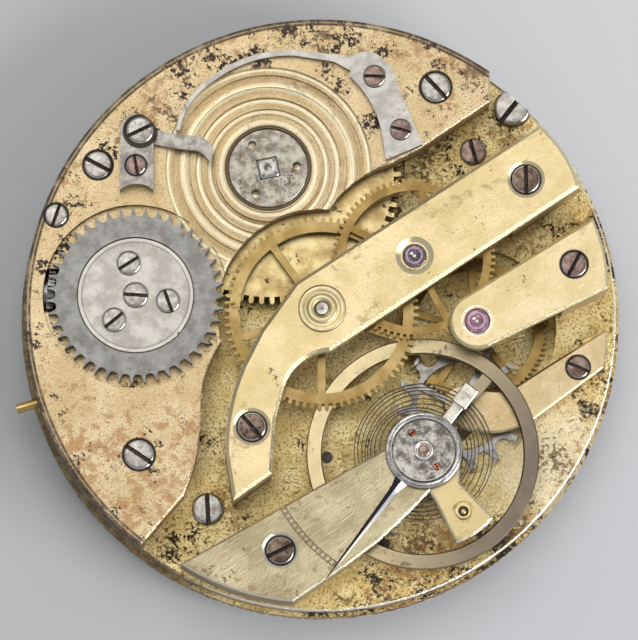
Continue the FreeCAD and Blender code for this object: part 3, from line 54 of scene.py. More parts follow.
# places that the movement's own drawing gives, in millimetres
stemAngle = 175.7
balanceAxis = (7.23, -10.08)
barrelAxis = (-3.825, 10.31)
thirdAxis = (6.6, 3.85)
escapeAxis = (10.07, -6.43)
caseScrewPlace = (13.78, 15.25)
seatTurn = 12.0        # how far the barrel arbor's square is turned
scaleCentre = (8.07, -7.92)        # the engraved scale on the balance cock
scaleRadius = 12.5
scaleSweep = (206.9, 235.5)


def polar(angle, radius, centre=(0.0, 0.0)):
    a = math.radians(angle)
    return (centre[0] + radius * math.cos(a), centre[1] + radius * math.sin(a))


fourthAxis = polar(stemAngle + 180.0, 11.07)
crownAxis = polar(stemAngle, 13.3)
studPlace = polar(-57.0, 5.15, balanceAxis)


def tone(red, green, blue):
    # a colour as seen, 0 to 255, turned to linear light
    def linear(c):
        c = c / 255.0
        return c / 12.92 if c <= 0.04045 else ((c + 0.055) / 1.055) ** 2.4
    return (linear(red), linear(green), linear(blue), 1.0)


class Finish:
    # a material under construction: every method returns the socket it made
    def __init__(self, name, metal=1.0, rough=0.4):
        self.material = bpy.data.materials.new(name)
        self.material.use_nodes = True
        self.tree = self.material.node_tree
        self.tree.nodes.clear()
        self.shader = self.node("BsdfPrincipled")
        self.link(self.shader.outputs[0], self.node("OutputMaterial").inputs[0])
        self.texture = self.node("TexCoord")
        self.place = self.texture.outputs["Object"]
        self.metal = metal
        self.rough = rough
        self.set("Metallic", metal)
        self.set("Roughness", rough)

    def node(self, kind):
        return self.tree.nodes.new("ShaderNode" + kind)

    def link(self, source, target):
        self.tree.links.new(source, target)

    def plug(self, target, value):
        if isinstance(value, bpy.types.NodeSocket):
            self.link(value, target)
        else:
            target.default_value = value

    def set(self, socket, value):
        self.plug(self.shader.inputs[socket], value)

    def calc(self, operation, a, b=0.0, clamp=False):
        node = self.node("Math")
        node.operation = operation
        node.use_clamp = clamp
        self.plug(node.inputs[0], a)
        self.plug(node.inputs[1], b)
        return node.outputs[0]

    def add(self, *values):
        total = values[0]
        for value in values[1:]:
            total = self.calc("ADD", total, value)
        return total

    def times(self, a, b):
        return self.calc("MULTIPLY", a, b)

    def most(self, *values):
        top = values[0]
        for value in values[1:]:
            top = self.calc("MAXIMUM", top, value)
        return top

    def noise(self, size, detail=5.0, rough=0.6, warp=0.0, stretch=(1, 1, 1), turn=0.0, shift=0.0):
        # size is the grain in millimetres; stretch lengthens it along an axis, after a turn in plan
        spin = self.node("Mapping")
        spin.inputs["Rotation"].default_value = (0, 0, math.radians(-turn))
        self.link(self.place, spin.inputs["Vector"])
        mapping = self.node("Mapping")
        self.link(spin.outputs[0], mapping.inputs["Vector"])
        mapping.inputs["Scale"].default_value = [1.0 / (size * mm * s) for s in stretch]
        mapping.inputs["Location"].default_value = (shift, 1.7 * shift, 0.6 * shift)
        node = self.node("TexNoise")
        node.inputs["Scale"].default_value = 1.0
        node.inputs["Detail"].default_value = detail
        node.inputs["Roughness"].default_value = rough
        node.inputs["Distortion"].default_value = warp
        self.link(mapping.outputs[0], node.inputs["Vector"])
        return node.outputs[0]

    def rise(self, value, low, high, start=0.0, end=1.0):
        # smooth step of a value from low to high
        node = self.node("MapRange")
        node.interpolation_type = "SMOOTHSTEP"
        for name, number in (("From Min", low), ("From Max", high), ("To Min", start), ("To Max", end)):
            node.inputs[name].default_value = number
        self.plug(node.inputs["Value"], value)
        return node.outputs[0]

    def blend(self, share, first, second):
        node = self.node("Mix")
        node.data_type = "RGBA"
        self.plug(node.inputs[0], share)
        self.plug(node.inputs[6], first)
        self.plug(node.inputs[7], second)
        return node.outputs[2]

    def axis(self, name, source=None):
        node = self.node("SeparateXYZ")
        self.link(source or self.place, node.inputs[0])
        return node.outputs[name]

    def band(self, value, low, high, soft):
        # one between low and high, zero outside
        return self.times(self.rise(value, low - soft, low), self.rise(value, high, high + soft, 1.0, 0.0))

    def reach(self, centre):
        # plan distance from a place in millimetres, as metres
        flat = self.node("VectorMath")
        flat.operation = "MULTIPLY"
        self.link(self.place, flat.inputs[0])
        flat.inputs[1].default_value = (1, 1, 0)
        node = self.node("VectorMath")
        node.operation = "DISTANCE"
        self.link(flat.outputs[0], node.inputs[0])
        node.inputs[1].default_value = (centre[0] * mm, centre[1] * mm, 0)
        return node.outputs["Value"]

    def around(self, centre):
        # plan angle about a place, in radians from 0 to a full turn
        x = self.calc("SUBTRACT", self.axis("X"), centre[0] * mm)
        y = self.calc("SUBTRACT", self.axis("Y"), centre[1] * mm)
        return self.calc("ADD", self.calc("ARCTAN2", self.times(y, -1.0), self.times(x, -1.0)), math.pi)

    def every(self, angle, count, share):
        # marks that repeat count times in a turn, each as wide as that share of its step
        part = self.calc("FRACT", self.times(angle, count / (2 * math.pi)))
        edge = self.calc("ABSOLUTE", self.calc("SUBTRACT", part, 0.5))
        return self.rise(edge, 0.5 - share / 2.0 - 0.02, 0.5 - share / 2.0)

    def spot(self, centre, inner, outer):
        return self.rise(self.reach(centre), inner * mm, outer * mm, 1.0, 0.0)

    def rings(self, centre, size, detail=3.0):
        # concentric turning marks
        node = self.node("TexNoise")
        node.noise_dimensions = "1D"
        node.inputs["Scale"].default_value = 1.0
        node.inputs["Detail"].default_value = detail
        self.plug(node.inputs["W"], self.times(self.reach(centre), 1.0 / (size * mm)))
        return node.outputs[0]

    def specks(self, size, cluster, level, worn=0.0, shift=0.0, soft=0.05, crowd=0.6):
        # fine stains that crowd together where a coarser cloud is dense
        cloud = self.calc("SUBTRACT", self.noise(cluster, 3, 0.5, shift=shift + 11.0), 0.5)
        grain = self.noise(size, 7, 0.72, shift=shift)
        return self.rise(self.add(grain, self.times(cloud, crowd), worn), level, level + soft)

    def bevels(self):
        # share of a face that leans as a polished edge does
        lean = self.calc("ABSOLUTE", self.axis("Z", self.texture.outputs["Normal"]))
        return self.band(lean, 0.45, 0.9, 0.06)

    def walls(self):
        lean = self.calc("ABSOLUTE", self.axis("Z", self.texture.outputs["Normal"]))
        return self.rise(lean, 0.2, 0.4, 1.0, 0.0)

    def gaps(self, places):
        # painted shade: a dark line in the gap round each (place, radius)
        dark = 0.0
        for place, radius in places:
            ring = self.band(self.reach(place), (radius - 0.05) * mm, (radius + 0.07) * mm, 0.05 * mm)
            dark = self.calc("MAXIMUM", dark, ring)
        return self.times(dark, 0.85)

    def bump(self, height, depth, strength=1.0):
        # depth in millimetres
        node = self.node("Bump")
        node.inputs["Strength"].default_value = strength
        node.inputs["Distance"].default_value = depth * mm
        self.plug(node.inputs["Height"], height)
        self.link(node.outputs[0], self.shader.inputs["Normal"])

    def stained(self, base, stains, polishAndGlint=None):
        # lays stains and painted shade, each (mask, colour), over the base and dulls it there; the last argument masks
        # polished edges, which the callers also paint bright as highlights
        dull = 0.0
        for mask, colour in stains:
            base = self.blend(mask, base, colour)
            dull = self.calc("MAXIMUM", dull, mask)
        rough = self.add(self.rough, self.times(dull, 0.78 - self.rough))
        if polishAndGlint is not None:
            clean = self.times(polishAndGlint, self.calc("SUBTRACT", 1.0, dull))
            rough = self.calc("SUBTRACT", rough, self.times(clean, 0.6 * self.rough))
        self.set("Base Color", base)
        self.set("Metallic", self.calc("SUBTRACT", self.metal, self.times(dull, 0.8 * self.metal), True))
        self.set("Roughness", rough)
        return dull


def giltPlate():
    # main plate: coarse frosted gilding, rust tints, black-brown specks that crowd round the rim and below
    f = Finish("frosted_gilt_plate", 0.92, 0.4)
    base = f.blend(f.rise(f.noise(2.2, 6), 0.35, 0.65), tone(220, 194, 128), tone(246, 228, 170))
    base = f.blend(f.rise(f.noise(0.17, 4, 0.7), 0.48, 0.64), base, tone(158, 126, 62))
    base = f.blend(f.rise(f.noise(0.2, 4, 0.7, shift=14.0), 0.6, 0.68), base, tone(255, 240, 186))
    base = f.blend(f.times(f.spot((17.0, -10.5), 1.5, 7.0), 0.65), base, tone(228, 216, 186))
    rim = f.times(f.rise(f.reach((0, 0)), 17.0 * mm, 20.8 * mm), 0.08)
    dirty = f.most(f.spot((10.5, 11.5), 2.0, 6.0), f.spot((-7.0, -15.5), 1.5, 5.0), f.spot((7.0, -19.0), 2.0, 8.0),
                   f.spot((17.0, 5.5), 2.0, 6.0), f.spot((19.5, -5.0), 1.0, 4.0),
                   f.spot((12.0, -17.0), 1.0, 5.0))
    worn = f.add(rim, f.times(dirty, 0.11), -0.02)
    rust = f.times(f.specks(0.6, 4.0, 0.61, f.add(f.times(worn, 0.8), f.times(f.spot((6.0, -14.5), 2.0, 7.0), 0.1)),
                            3.0, 0.14), 0.6)
    brown = f.times(f.specks(0.36, 3.2, 0.675, worn, 7.0, 0.06, 0.7), 0.8)
    black = f.specks(0.28, 2.4, 0.68, worn, 9.0, 0.04, 0.9)
    edge = f.rise(f.reach((0, 0)), 20.98 * mm, 21.08 * mm)
    # towards the lower right, where the lamp falls, the rim bevel is painted bright as a highlight; the rim's walls,
    # and its top away from the lamp, take a dark colour that is tarnish with painted shade, paler on the lit side
    bright = f.rise(f.add(f.axis("X"), f.times(f.axis("Y"), -0.7)), 1.0 * mm, 9.0 * mm)
    wall = f.times(edge, f.most(f.walls(), f.times(f.calc("SUBTRACT", 1.0, bright), 0.9)))
    polishAndGlint = f.times(f.bevels(), f.times(edge, bright))
    base = f.blend(polishAndGlint, base, tone(246, 240, 226))
    rimTarnishAndShade = f.blend(f.rise(f.noise(0.7, 6, 0.7), 0.42, 0.62), tone(66, 54, 46), tone(140, 118, 88))
    rimTarnishAndShade = f.blend(f.times(bright, 0.6), rimTarnishAndShade, tone(158, 146, 130))
    keep = f.calc("SUBTRACT", 1.0, f.times(polishAndGlint, 0.85))
    dull = f.stained(base, [(f.times(rust, keep), tone(170, 112, 50)), (f.times(wall, 0.88), rimTarnishAndShade),
                            (f.times(brown, keep), tone(104, 74, 44)), (f.times(black, keep), tone(50, 38, 32))],
                     polishAndGlint)
    grain = f.add(f.noise(0.12, 3, 0.6), f.times(f.noise(0.35, 4, 0.6), 0.7))
    f.bump(f.calc("SUBTRACT", grain, f.times(dull, 0.4)), 0.07, 0.9)
    return f.material


def giltBridge():
    # barrel bridge: cream gilding, deep turned rings round the barrel, dark specks along the top, tan below
    f = Finish("fine_gilt_barrel_bridge", 0.92, 0.34)
    base = f.blend(f.rise(f.noise(3.4, 5), 0.35, 0.65), tone(184, 161, 120), tone(200, 180, 143))
    base = f.blend(f.rise(f.noise(0.14, 3, 0.6), 0.5, 0.68), base, tone(160, 134, 92))
    turned = f.spot(barrelAxis, 7.3, 7.42)
    bare = f.calc("SUBTRACT", 1.0, f.times(turned, 0.75))
    top = f.times(f.rise(f.axis("Y"), 8.0 * mm, 17.0 * mm), 0.035)
    edge = f.times(f.rise(f.reach((0, 0)), 15.5 * mm, 20.5 * mm), 0.06)
    low = f.rise(f.axis("Y"), -2.0 * mm, -9.0 * mm)
    worn = f.times(f.add(top, edge), f.calc("SUBTRACT", 1.0, f.times(low, 0.3)))
    tan = f.times(f.specks(0.7, 3.6, 0.6, f.add(f.times(low, 0.13), f.times(worn, 0.4)), 2.0, 0.15), 0.62)
    orange = f.times(f.specks(0.35, 3.0, 0.68, 0.0, 21.0), 0.5)
    brown = f.times(f.specks(0.34, 2.4, 0.695, worn, 5.0, 0.06, 0.7), 0.75)
    black = f.specks(0.34, 2.2, 0.685, worn, 8.0, 0.04, 0.9)
    uneven = f.add(f.reach(barrelAxis), f.times(f.calc("SINE", f.times(f.reach(barrelAxis), 1.45 / mm)), 0.2 * mm))
    groove = f.times(f.calc("SINE", f.times(uneven, 2 * math.pi / (0.98 * mm))), turned)
    # painted highlight on the crests of the turned rings and painted shade in their troughs, over the bumped ring
    # profile
    base = f.blend(f.times(f.rise(groove, 0.1, 0.95), 0.6), base, tone(240, 232, 198))
    base = f.blend(f.times(f.rise(groove, -0.6, -0.98), 0.35), base, tone(150, 126, 80))
    radius = f.reach((0, 0))
    crust = f.calc("SUBTRACT", f.rise(radius, 20.68 * mm, 20.8 * mm),
                   f.times(f.band(radius, 20.92 * mm, 20.98 * mm, 0.05 * mm), 0.6))
    crust = f.times(crust, f.rise(f.noise(0.9, 6, 0.7, shift=6.0), 0.34, 0.56, 0.45, 0.95))
    # painted shade in the gaps round the screw heads and the arbor
    heads = f.gaps([((-18.96, 6.84), 0.86), ((-16.0, 10.49), 1.06), ((-12.97, -10.39), 1.14), ((8.17, 16.26), 1.14),
                    (barrelAxis, 3.02)])
    polishAndGlint = f.bevels()
    # bevels painted bright as highlights; below, upright walls painted darker, dirt with painted shade
    base = f.blend(f.times(polishAndGlint, 0.8), base, tone(236, 224, 190))
    wall = f.times(f.walls(), 0.75)
    dull = f.stained(base, [(f.times(tan, bare), tone(186, 132, 76)), (f.times(orange, turned), tone(200, 130, 66)),
                            (f.times(wall, f.rise(f.noise(0.8, 5, 0.7), 0.42, 0.6)), tone(120, 92, 62)),
                            (f.times(brown, bare), tone(112, 86, 64)), (f.times(black, bare), tone(64, 50, 46)),
                            (crust, tone(72, 58, 48)), (heads, tone(44, 34, 28))],
                     polishAndGlint)
    marks = f.times(f.rings(barrelAxis, 0.05, 2.0), f.times(turned, 0.25))
    grain = f.times(f.noise(0.1, 3, 0.6), f.times(bare, 0.35))
    f.bump(f.calc("SUBTRACT", f.add(grain, marks, f.times(groove, 0.3)), f.times(dull, 0.12)), 0.09, 0.8)
    return f.material


def giltBar(name, light, dark, pits, shift=3.0, heads=()):
    # train bridge and wheel cocks: pale satin gilding, edges painted bright as highlights, few marks
    f = Finish(name, 0.95, 0.32)
    base = f.blend(f.rise(f.noise(4.0, 4, shift=shift), 0.35, 0.65), dark, light)
    base = f.blend(f.rise(f.noise(0.1, 3, 0.6), 0.52, 0.7), base, tone(168, 146, 98))
    hair = f.noise(0.06, 2, 0.5, stretch=(22, 1, 1), turn=31.0, shift=shift)
    base = f.blend(f.times(f.rise(hair, 0.62, 0.72), 0.5), base, tone(236, 222, 178))
    olive = f.times(f.specks(0.8, 4.5, 0.58, 0.0, shift, 0.14), 0.5)
    outer = f.times(f.rise(f.reach((0, 0)), 12.0 * mm, 20.0 * mm), 0.03)
    brown = f.times(f.specks(0.3, 2.6, pits, outer, shift + 3.0), 0.75)
    polishAndGlint = f.bevels()
    # bevels painted bright as highlights; walls painted darker, dirt with painted shade; painted shade in the gaps
    # round the screw heads
    base = f.blend(f.times(polishAndGlint, 0.85), base, tone(238, 226, 186))
    dull = f.stained(base, [(olive, tone(176, 150, 96)), (f.times(f.walls(), 0.5), tone(120, 96, 56)),
                            (brown, tone(116, 88, 54)), (f.gaps(heads), tone(56, 42, 30))], polishAndGlint)
    f.bump(f.calc("SUBTRACT", f.noise(0.08, 3, 0.6), f.times(dull, 0.3)), 0.03, 0.6)
    return f.material


def silveredCock():
    # balance cock: silvery worn gilding, long fine scratches, an engraved regulating scale, brown stains
    f = Finish("silvered_gilt_cock", 0.93, 0.3)
    base = f.blend(f.rise(f.noise(3.0, 5), 0.35, 0.65), tone(146, 134, 104), tone(172, 160, 128))
    fine = f.noise(0.07, 2, 0.5, stretch=(26, 1, 1), turn=34.0, shift=1.0)
    cross = f.noise(0.1, 2, 0.5, stretch=(16, 1, 1), turn=72.0, shift=5.0)
    base = f.blend(f.times(f.rise(fine, 0.6, 0.7), 0.5), base, tone(206, 198, 168))
    base = f.blend(f.times(f.rise(cross, 0.68, 0.74), 0.6), base, tone(112, 98, 72))
    radius = f.reach(scaleCentre)
    angle = f.around(scaleCentre)
    arc = f.times(f.band(angle, math.radians(scaleSweep[0]), math.radians(scaleSweep[1]), 0.004),
                  f.rise(f.reach(balanceAxis), 9.0 * mm, 9.2 * mm))
    away = f.calc("ABSOLUTE", f.calc("SUBTRACT", radius, scaleRadius * mm))
    lines = f.band(away, 0.17 * mm, 0.2 * mm, 0.03 * mm)
    boxes = f.times(f.rise(away, 0.1 * mm, 0.13 * mm, 1.0, 0.0), f.every(angle, 190, 0.42))
    cut = f.times(f.most(lines, f.times(boxes, 0.7)), arc)
    base = f.blend(f.times(f.spot(studPlace, 2.0, 3.2), 0.75), base, tone(196, 174, 124))
    low = f.times(f.rise(f.axis("Y"), -13.0 * mm, -20.0 * mm), 0.03)
    tan = f.times(f.specks(0.7, 3.2, 0.59, low, 7.0, 0.12), 0.45)
    brown = f.times(f.specks(0.32, 2.4, 0.665, low, 4.0), 0.75)
    polishAndGlint = f.bevels()
    # bevels painted bright as highlights; walls painted darker, dirt with painted shade; painted shade in the gap round
    # the screw head
    base = f.blend(f.times(polishAndGlint, 0.85), base, tone(240, 234, 214))
    dull = f.stained(base, [(tan, tone(158, 122, 76)), (f.times(cut, 0.65), tone(112, 96, 68)),
                            (f.times(f.walls(), 0.5), tone(112, 92, 62)),
                            (brown, tone(96, 70, 42)), (f.gaps([((-2.94, -17.2), 1.05)]), tone(50, 40, 30))], polishAndGlint)
    relief = f.add(f.times(f.noise(0.1, 3, 0.6), 0.5), f.times(fine, 0.5), f.times(cross, 0.5))
    f.bump(f.calc("SUBTRACT", relief, f.add(f.times(dull, 0.2), f.times(cut, 0.8))), 0.035, 0.75)
    return f.material


def wheelBrass(name, light, dark, rust, centre=(0.0, 0.0), rough=0.33):
    # train wheels: satin gilt brass, turned marks, brown spots
    f = Finish(name, 0.95, rough)
    base = f.blend(f.rise(f.noise(1.6, 5), 0.35, 0.65), dark, light)
    spots = f.times(f.specks(0.35, 2.2, rust, 0.0, 3.0), 0.8)
    # upright walls and tooth flanks painted darker: dirt with painted shade
    grimeAndShade = f.times(f.walls(), 0.45)
    dull = f.stained(base, [(grimeAndShade, tone(110, 78, 40)), (spots, tone(112, 74, 36))])
    marks = f.add(f.times(f.rings(centre, 0.06, 2.0), 0.7), f.times(f.noise(0.07, 2), 0.5))
    f.bump(f.calc("SUBTRACT", marks, f.times(dull, 0.3)), 0.014, 0.5)
    return f.material


def steel(name, light, dark, rust=0.62, rough=0.32, centre=None, mottle=1.2, tint=(96, 70, 58), rim=None):
    # grey steel, mottled, with fine rust pits and edges painted brighter as highlights
    f = Finish(name, 0.93, rough)
    base = f.blend(f.rise(f.noise(mottle, 7, 0.68, shift=2.0), 0.38, 0.62), dark, light)
    fine = f.noise(0.06, 2, 0.5, stretch=(9, 1, 1), turn=25.0, shift=1.0)
    base = f.blend(f.times(f.rise(fine, 0.6, 0.72), 0.4), base, light)
    if rim is not None:
        # a bright turned edge with a dark line inside it
        base = f.blend(f.times(f.rise(f.reach(centre), (rim - 0.26) * mm, (rim - 0.2) * mm), 0.5), base,
                       tone(190, 186, 178))
        base = f.blend(f.times(f.band(f.reach(centre), (rim - 0.36) * mm, (rim - 0.3) * mm, 0.04 * mm), 0.5), base,
                       tone(84, 78, 70))
    pits = f.specks(0.22, 1.6, rust, 0.0, 3.0)
    film = f.times(f.specks(0.6, 2.2, rust - 0.05, 0.0, 13.0, 0.12), 0.5)
    polishAndGlint = f.bevels()
    # bevels painted bright as highlights
    base = f.blend(f.times(polishAndGlint, 0.6), base, tone(222, 220, 216))
    dull = f.stained(base, [(film, tone(*[min(255, round(1.3 * c)) for c in tint])), (f.times(pits, 0.85), tone(*tint))],
                     polishAndGlint)
    height = f.add(f.times(f.noise(0.09, 3, 0.6), 0.7), f.times(fine, 0.4))
    if centre is not None:
        height = f.add(height, f.times(f.rings(centre, 0.05, 2.0), 0.7))
    f.bump(f.calc("SUBTRACT", height, f.times(dull, 0.5)), 0.02, 0.5)
    return f.material


def clickSteel():
    # click and its plate, with painted shade in the gap round the pivot screw
    f = Finish("grey_click_work", 0.93, 0.36)
    base = f.blend(f.rise(f.noise(0.8, 7, 0.68), 0.38, 0.62), tone(116, 109, 101), tone(158, 152, 143))
    # dark: painted shade in the gap round the pivot screw; the bevels below are painted bright as highlights
    dark = f.band(f.reach((-12.99, 12.76)), 0.98 * mm, 1.22 * mm, 0.06 * mm)
    base = f.blend(f.times(f.bevels(), 0.6), base, tone(214, 210, 202))
    pits = f.times(f.specks(0.24, 1.6, 0.66), 0.8)
    dull = f.stained(base, [(pits, tone(92, 70, 56)), (f.times(dark, 0.9), tone(48, 40, 34)),
                            (f.gaps([((-13.28, 10.28), 0.74)]), tone(48, 40, 34))], f.bevels())
    f.bump(f.calc("SUBTRACT", f.noise(0.09, 3), f.times(dull, 0.5)), 0.02, 0.5)
    return f.material


def indexSteel():
    # polished blade: one flank painted bright as a highlight, the other painted blue-black as shade
    f = Finish("index_steel_lit_flank", 0.95, 0.18)
    flank = f.node("VectorMath")
    flank.operation = "DOT_PRODUCT"
    f.link(f.texture.outputs["Normal"], flank.inputs[0])
    flank.inputs[1].default_value = (math.cos(math.radians(-37.0)), math.sin(math.radians(-37.0)), 0.0)
    base = f.blend(f.rise(flank.outputs["Value"], -0.05, 0.1), tone(64, 64, 74), tone(198, 200, 206))
    f.stained(base, [(f.times(f.specks(0.25, 1.5, 0.68), 0.8), tone(84, 66, 56))])
    f.bump(f.noise(0.08, 3), 0.01, 0.4)
    return f.material


def darkMetal(name, colour, rough=0.7):
    # bottoms of slots and recesses: dark colour that is painted shade with dirt over steel
    f = Finish(name, 0.3, rough)
    f.set("Base Color", f.blend(f.rise(f.noise(0.15, 5, 0.7), 0.4, 0.62), tone(*colour), tone(92, 78, 66)))
    f.bump(f.noise(0.06, 3), 0.01, 0.5)
    return f.material


def ruby(name, deep, pale, glint):
    # polished stone: cloudy inside, with a few pale flecks painted as glints
    f = Finish(name, 0.0, 0.08)
    base = f.blend(f.rise(f.noise(0.4, 5, 0.65), 0.38, 0.62), deep, pale)
    f.set("Base Color", f.blend(f.rise(f.noise(0.16, 4, 0.6, shift=5.0), 0.6, 0.68), base, glint))
    f.set("IOR", 1.76)
    f.set("Coat Weight", 0.7)
    f.set("Coat Roughness", 0.04)
    f.bump(f.noise(0.2, 3), 0.01, 0.5)
    return f.material


def enamel(name):
    # white enamel: a plain minute track and hour batons on the front, hairline marks, a dirty chipped edge
    f = Finish(name, 0.0, 0.12)
    base = f.blend(f.rise(f.noise(6.0, 4), 0.35, 0.65), tone(226, 224, 214), tone(238, 237, 230))
    radius = f.reach((0, 0))
    angle = f.around((0, 0))
    apart = f.rise(f.reach(fourthAxis), 4.9 * mm, 5.0 * mm)
    track = f.most(f.band(radius, 18.6 * mm, 18.68 * mm, 0.03 * mm), f.band(radius, 19.6 * mm, 19.68 * mm, 0.03 * mm),
                   f.times(f.band(radius, 18.6 * mm, 19.68 * mm, 0.03 * mm), f.every(angle, 60, 0.07)))
    hours = f.times(f.band(radius, 14.2 * mm, 17.8 * mm, 0.04 * mm), f.every(angle, 12, 0.07))
    small = f.reach(fourthAxis)
    turn = f.around(fourthAxis)
    seconds = f.times(f.band(small, 3.0 * mm, 3.6 * mm, 0.03 * mm), f.every(turn, 60, 0.12))
    front = f.rise(f.axis("Z"), -0.6 * mm, -0.42 * mm, 1.0, 0.0)
    ink = f.times(f.most(f.times(f.most(track, hours), apart), seconds), front)
    base = f.blend(ink, base, tone(30, 28, 30))
    line = f.rise(f.calc("ABSOLUTE", f.calc("SUBTRACT", f.noise(5.0, 3, 0.6, warp=1.0, shift=8.0), 0.5)), 0.0, 0.003, 0.5, 0.0)
    base = f.blend(line, base, tone(150, 140, 124))
    edge = f.times(f.rise(radius, 21.3 * mm, 21.48 * mm), f.rise(f.noise(0.5, 6, 0.7), 0.36, 0.56))
    base = f.blend(f.times(edge, 0.85), base, tone(120, 92, 74))
    f.set("Base Color", f.blend(f.rise(f.noise(0.3, 5, 0.6, shift=4.0), 0.67, 0.74, 0.0, 0.5), base, tone(150, 136, 118)))
    f.set("Coat Weight", 0.5)
    f.bump(f.noise(1.5, 2), 0.01, 0.3)
    return f.material


def copper(name, rough=0.35):
    f = Finish(name, 0.95, rough)
    base = f.blend(f.rise(f.noise(0.8, 5), 0.35, 0.65), tone(140, 78, 54), tone(190, 114, 80))
    f.stained(base, [(f.specks(0.3, 1.4, 0.56, 0.0, 3.0, 0.08), tone(72, 50, 40))])
    f.bump(f.noise(0.08, 3), 0.02, 0.5)
    return f.material


def rimBrass():
    # balance rim: rose brass with a painted sheen on the left that fades into greyer, darker painted shade towards the
    # right
    f = Finish("balance_rim_sheen_and_wear", 0.95, 0.3)
    across = f.rise(f.add(f.axis("X"), f.times(f.axis("Y"), -0.3)), 3.0 * mm, 20.0 * mm)
    base = f.blend(across, tone(190, 173, 132), tone(100, 90, 80))
    base = f.blend(f.times(f.rise(f.noise(1.4, 6), 0.42, 0.65), 0.22), base, tone(138, 122, 98))
    spots = f.times(f.specks(0.4, 2.0, 0.62, 0.0, 3.0, 0.08), 0.6)
    # walls painted darker, dirt with painted shade; brown spots are stains
    f.stained(base, [(f.times(f.walls(), 0.5), tone(90, 70, 52)), (spots, tone(96, 72, 50))])
    f.bump(f.add(f.rings(balanceAxis, 0.04, 2.0), f.noise(0.08, 2)), 0.012, 0.5)
    return f.material


def dress(finish, *names):
    for name in names:
        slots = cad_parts[name].material_slots
        if not len(slots):
            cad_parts[name].data.materials.append(finish)
        for slot in slots:
            slot.material = finish


greySteel = steel("screw_steel_grey", tone(164, 160, 152), tone(124, 118, 110), 0.68, 0.3, None, 0.5)
brownSteel = steel("screw_steel_brown", tone(140, 118, 108), tone(98, 78, 70), 0.64, 0.34, None, 0.4, (70, 44, 36))
blackSteel = steel("screw_steel_dark", tone(120, 102, 88), tone(70, 56, 48), 0.64, 0.32, None, 0.4, (52, 38, 32))
slotShadeAndDirt = darkMetal("slot_shade_and_dirt", (26, 20, 17))
copperBright = copper("copper_screws", 0.3)
smallBrass = wheelBrass("small_brass", tone(206, 184, 128), tone(172, 146, 90), 0.7)
hubBrass = wheelBrass("bushing_brass", tone(212, 198, 158), tone(192, 175, 130), 0.72, (0.0, 0.0), 0.42)
polishedSteel = steel("polished_pinions", tone(176, 174, 168), tone(120, 116, 110), 0.7, 0.22)
regulatorSteel = steel("regulator_steel", tone(204, 202, 200), tone(140, 136, 134), 0.72, 0.2, balanceAxis, 0.6)
springSteel = steel("blue_spring_steel", tone(66, 60, 62), tone(34, 30, 34), 0.74, 0.3)

dress(giltPlate(), "main_plate")
dress(giltBridge(), "barrel_bridge")
dress(giltBar("satin_gilt_train_bridge", tone(211, 190, 148), tone(190, 171, 122), 0.69, 3.0,
              [((14.57, 9.4), 1.05), ((-4.98, -8.49), 1.05)]), "train_bridge")
dress(giltBar("satin_gilt_fourth_cock", tone(212, 193, 155), tone(194, 176, 130), 0.68, 6.0,
              [((17.97, 3.28), 0.98)]), "fourth_cock")
dress(giltBar("satin_gilt_escape_cock", tone(199, 180, 145), tone(179, 156, 116), 0.68, 9.0,
              [((18.39, -3.72), 0.85)]), "escape_cock")
dress(silveredCock(), "balance_cock")
dress(wheelBrass("gilt_centre_wheel", tone(160, 137, 90), tone(132, 108, 62), 0.68), "centre_wheel")
dress(wheelBrass("gilt_third_wheel", tone(148, 121, 74), tone(120, 95, 52), 0.68, thirdAxis), "third_wheel")
dress(wheelBrass("gilt_fourth_wheel", tone(146, 119, 70), tone(116, 91, 48), 0.66, fourthAxis), "fourth_wheel")
dress(wheelBrass("gilt_motion_wheels", tone(204, 176, 112), tone(176, 146, 84), 0.7),
      "minute_wheel", "hour_wheel", "steady_pins", "setting_pin")
dress(wheelBrass("bright_setting", tone(216, 198, 160), tone(200, 180, 140), 0.74, fourthAxis, 0.26),
      "fourth_jewel_setting")
dress(wheelBrass("stained_barrel", tone(196, 178, 128), tone(150, 126, 80), 0.61, barrelAxis), "barrel_drum",
      "barrel_cover")
dress(rimBrass(), "balance_wheel")
dress(steel("grey_crown_wheel", tone(132, 130, 126), tone(108, 105, 100), 0.68, 0.34, crownAxis), "crown_wheel")
dress(steel("grey_crown_cap", tone(170, 165, 156), tone(142, 137, 128), 0.7, 0.32, crownAxis, 1.6, (110, 78, 62), 4.15),
      "crown_wheel_cap", "crown_wheel_core")
dress(steel("grey_hub", tone(166, 160, 146), tone(108, 100, 88), 0.65, 0.36, barrelAxis, 0.7), "ratchet_hub")
dress(clickSteel(), "click", "click_plate")
dress(steel("pale_click_spring", tone(160, 156, 148), tone(136, 131, 124), 0.7, 0.3), "click_spring")
dress(steel("mottled_cap", tone(182, 178, 170), tone(92, 86, 80), 0.64, 0.42, None, 0.7), "endstone_cap")
dress(polishedSteel, "centre_pinion", "third_pinion", "fourth_pinion", "escape_pinion", "balance_cylinder",
      "cannon_pinion")
dress(steel("keyless_steel", tone(150, 150, 148), tone(110, 108, 106), 0.7, 0.3), "winding_pinion",
      "clutch_wheel", "yoke", "setting_wheel", "intermediate_wheel")
dress(steel("escape_wheel_steel", tone(154, 151, 146), tone(108, 104, 98), 0.68, 0.3), "escape_wheel")
dress(springSteel, "mainspring", "yoke_spring")
dress(blackSteel, "keyless_screws")
dress(darkMetal("stud_dark", (40, 30, 24), 0.45), "plate_studs")
dress(smallBrass, "hairspring_collet")
dress(ruby("lower_ruby", tone(92, 40, 66), tone(130, 66, 96), tone(190, 140, 160)), "plate_jewels")
dress(copper("dial_copper_back"), "dial_copper")
dress(enamel("white_enamel"), "dial_enamel", "seconds_dial")
print("stage: finishes")


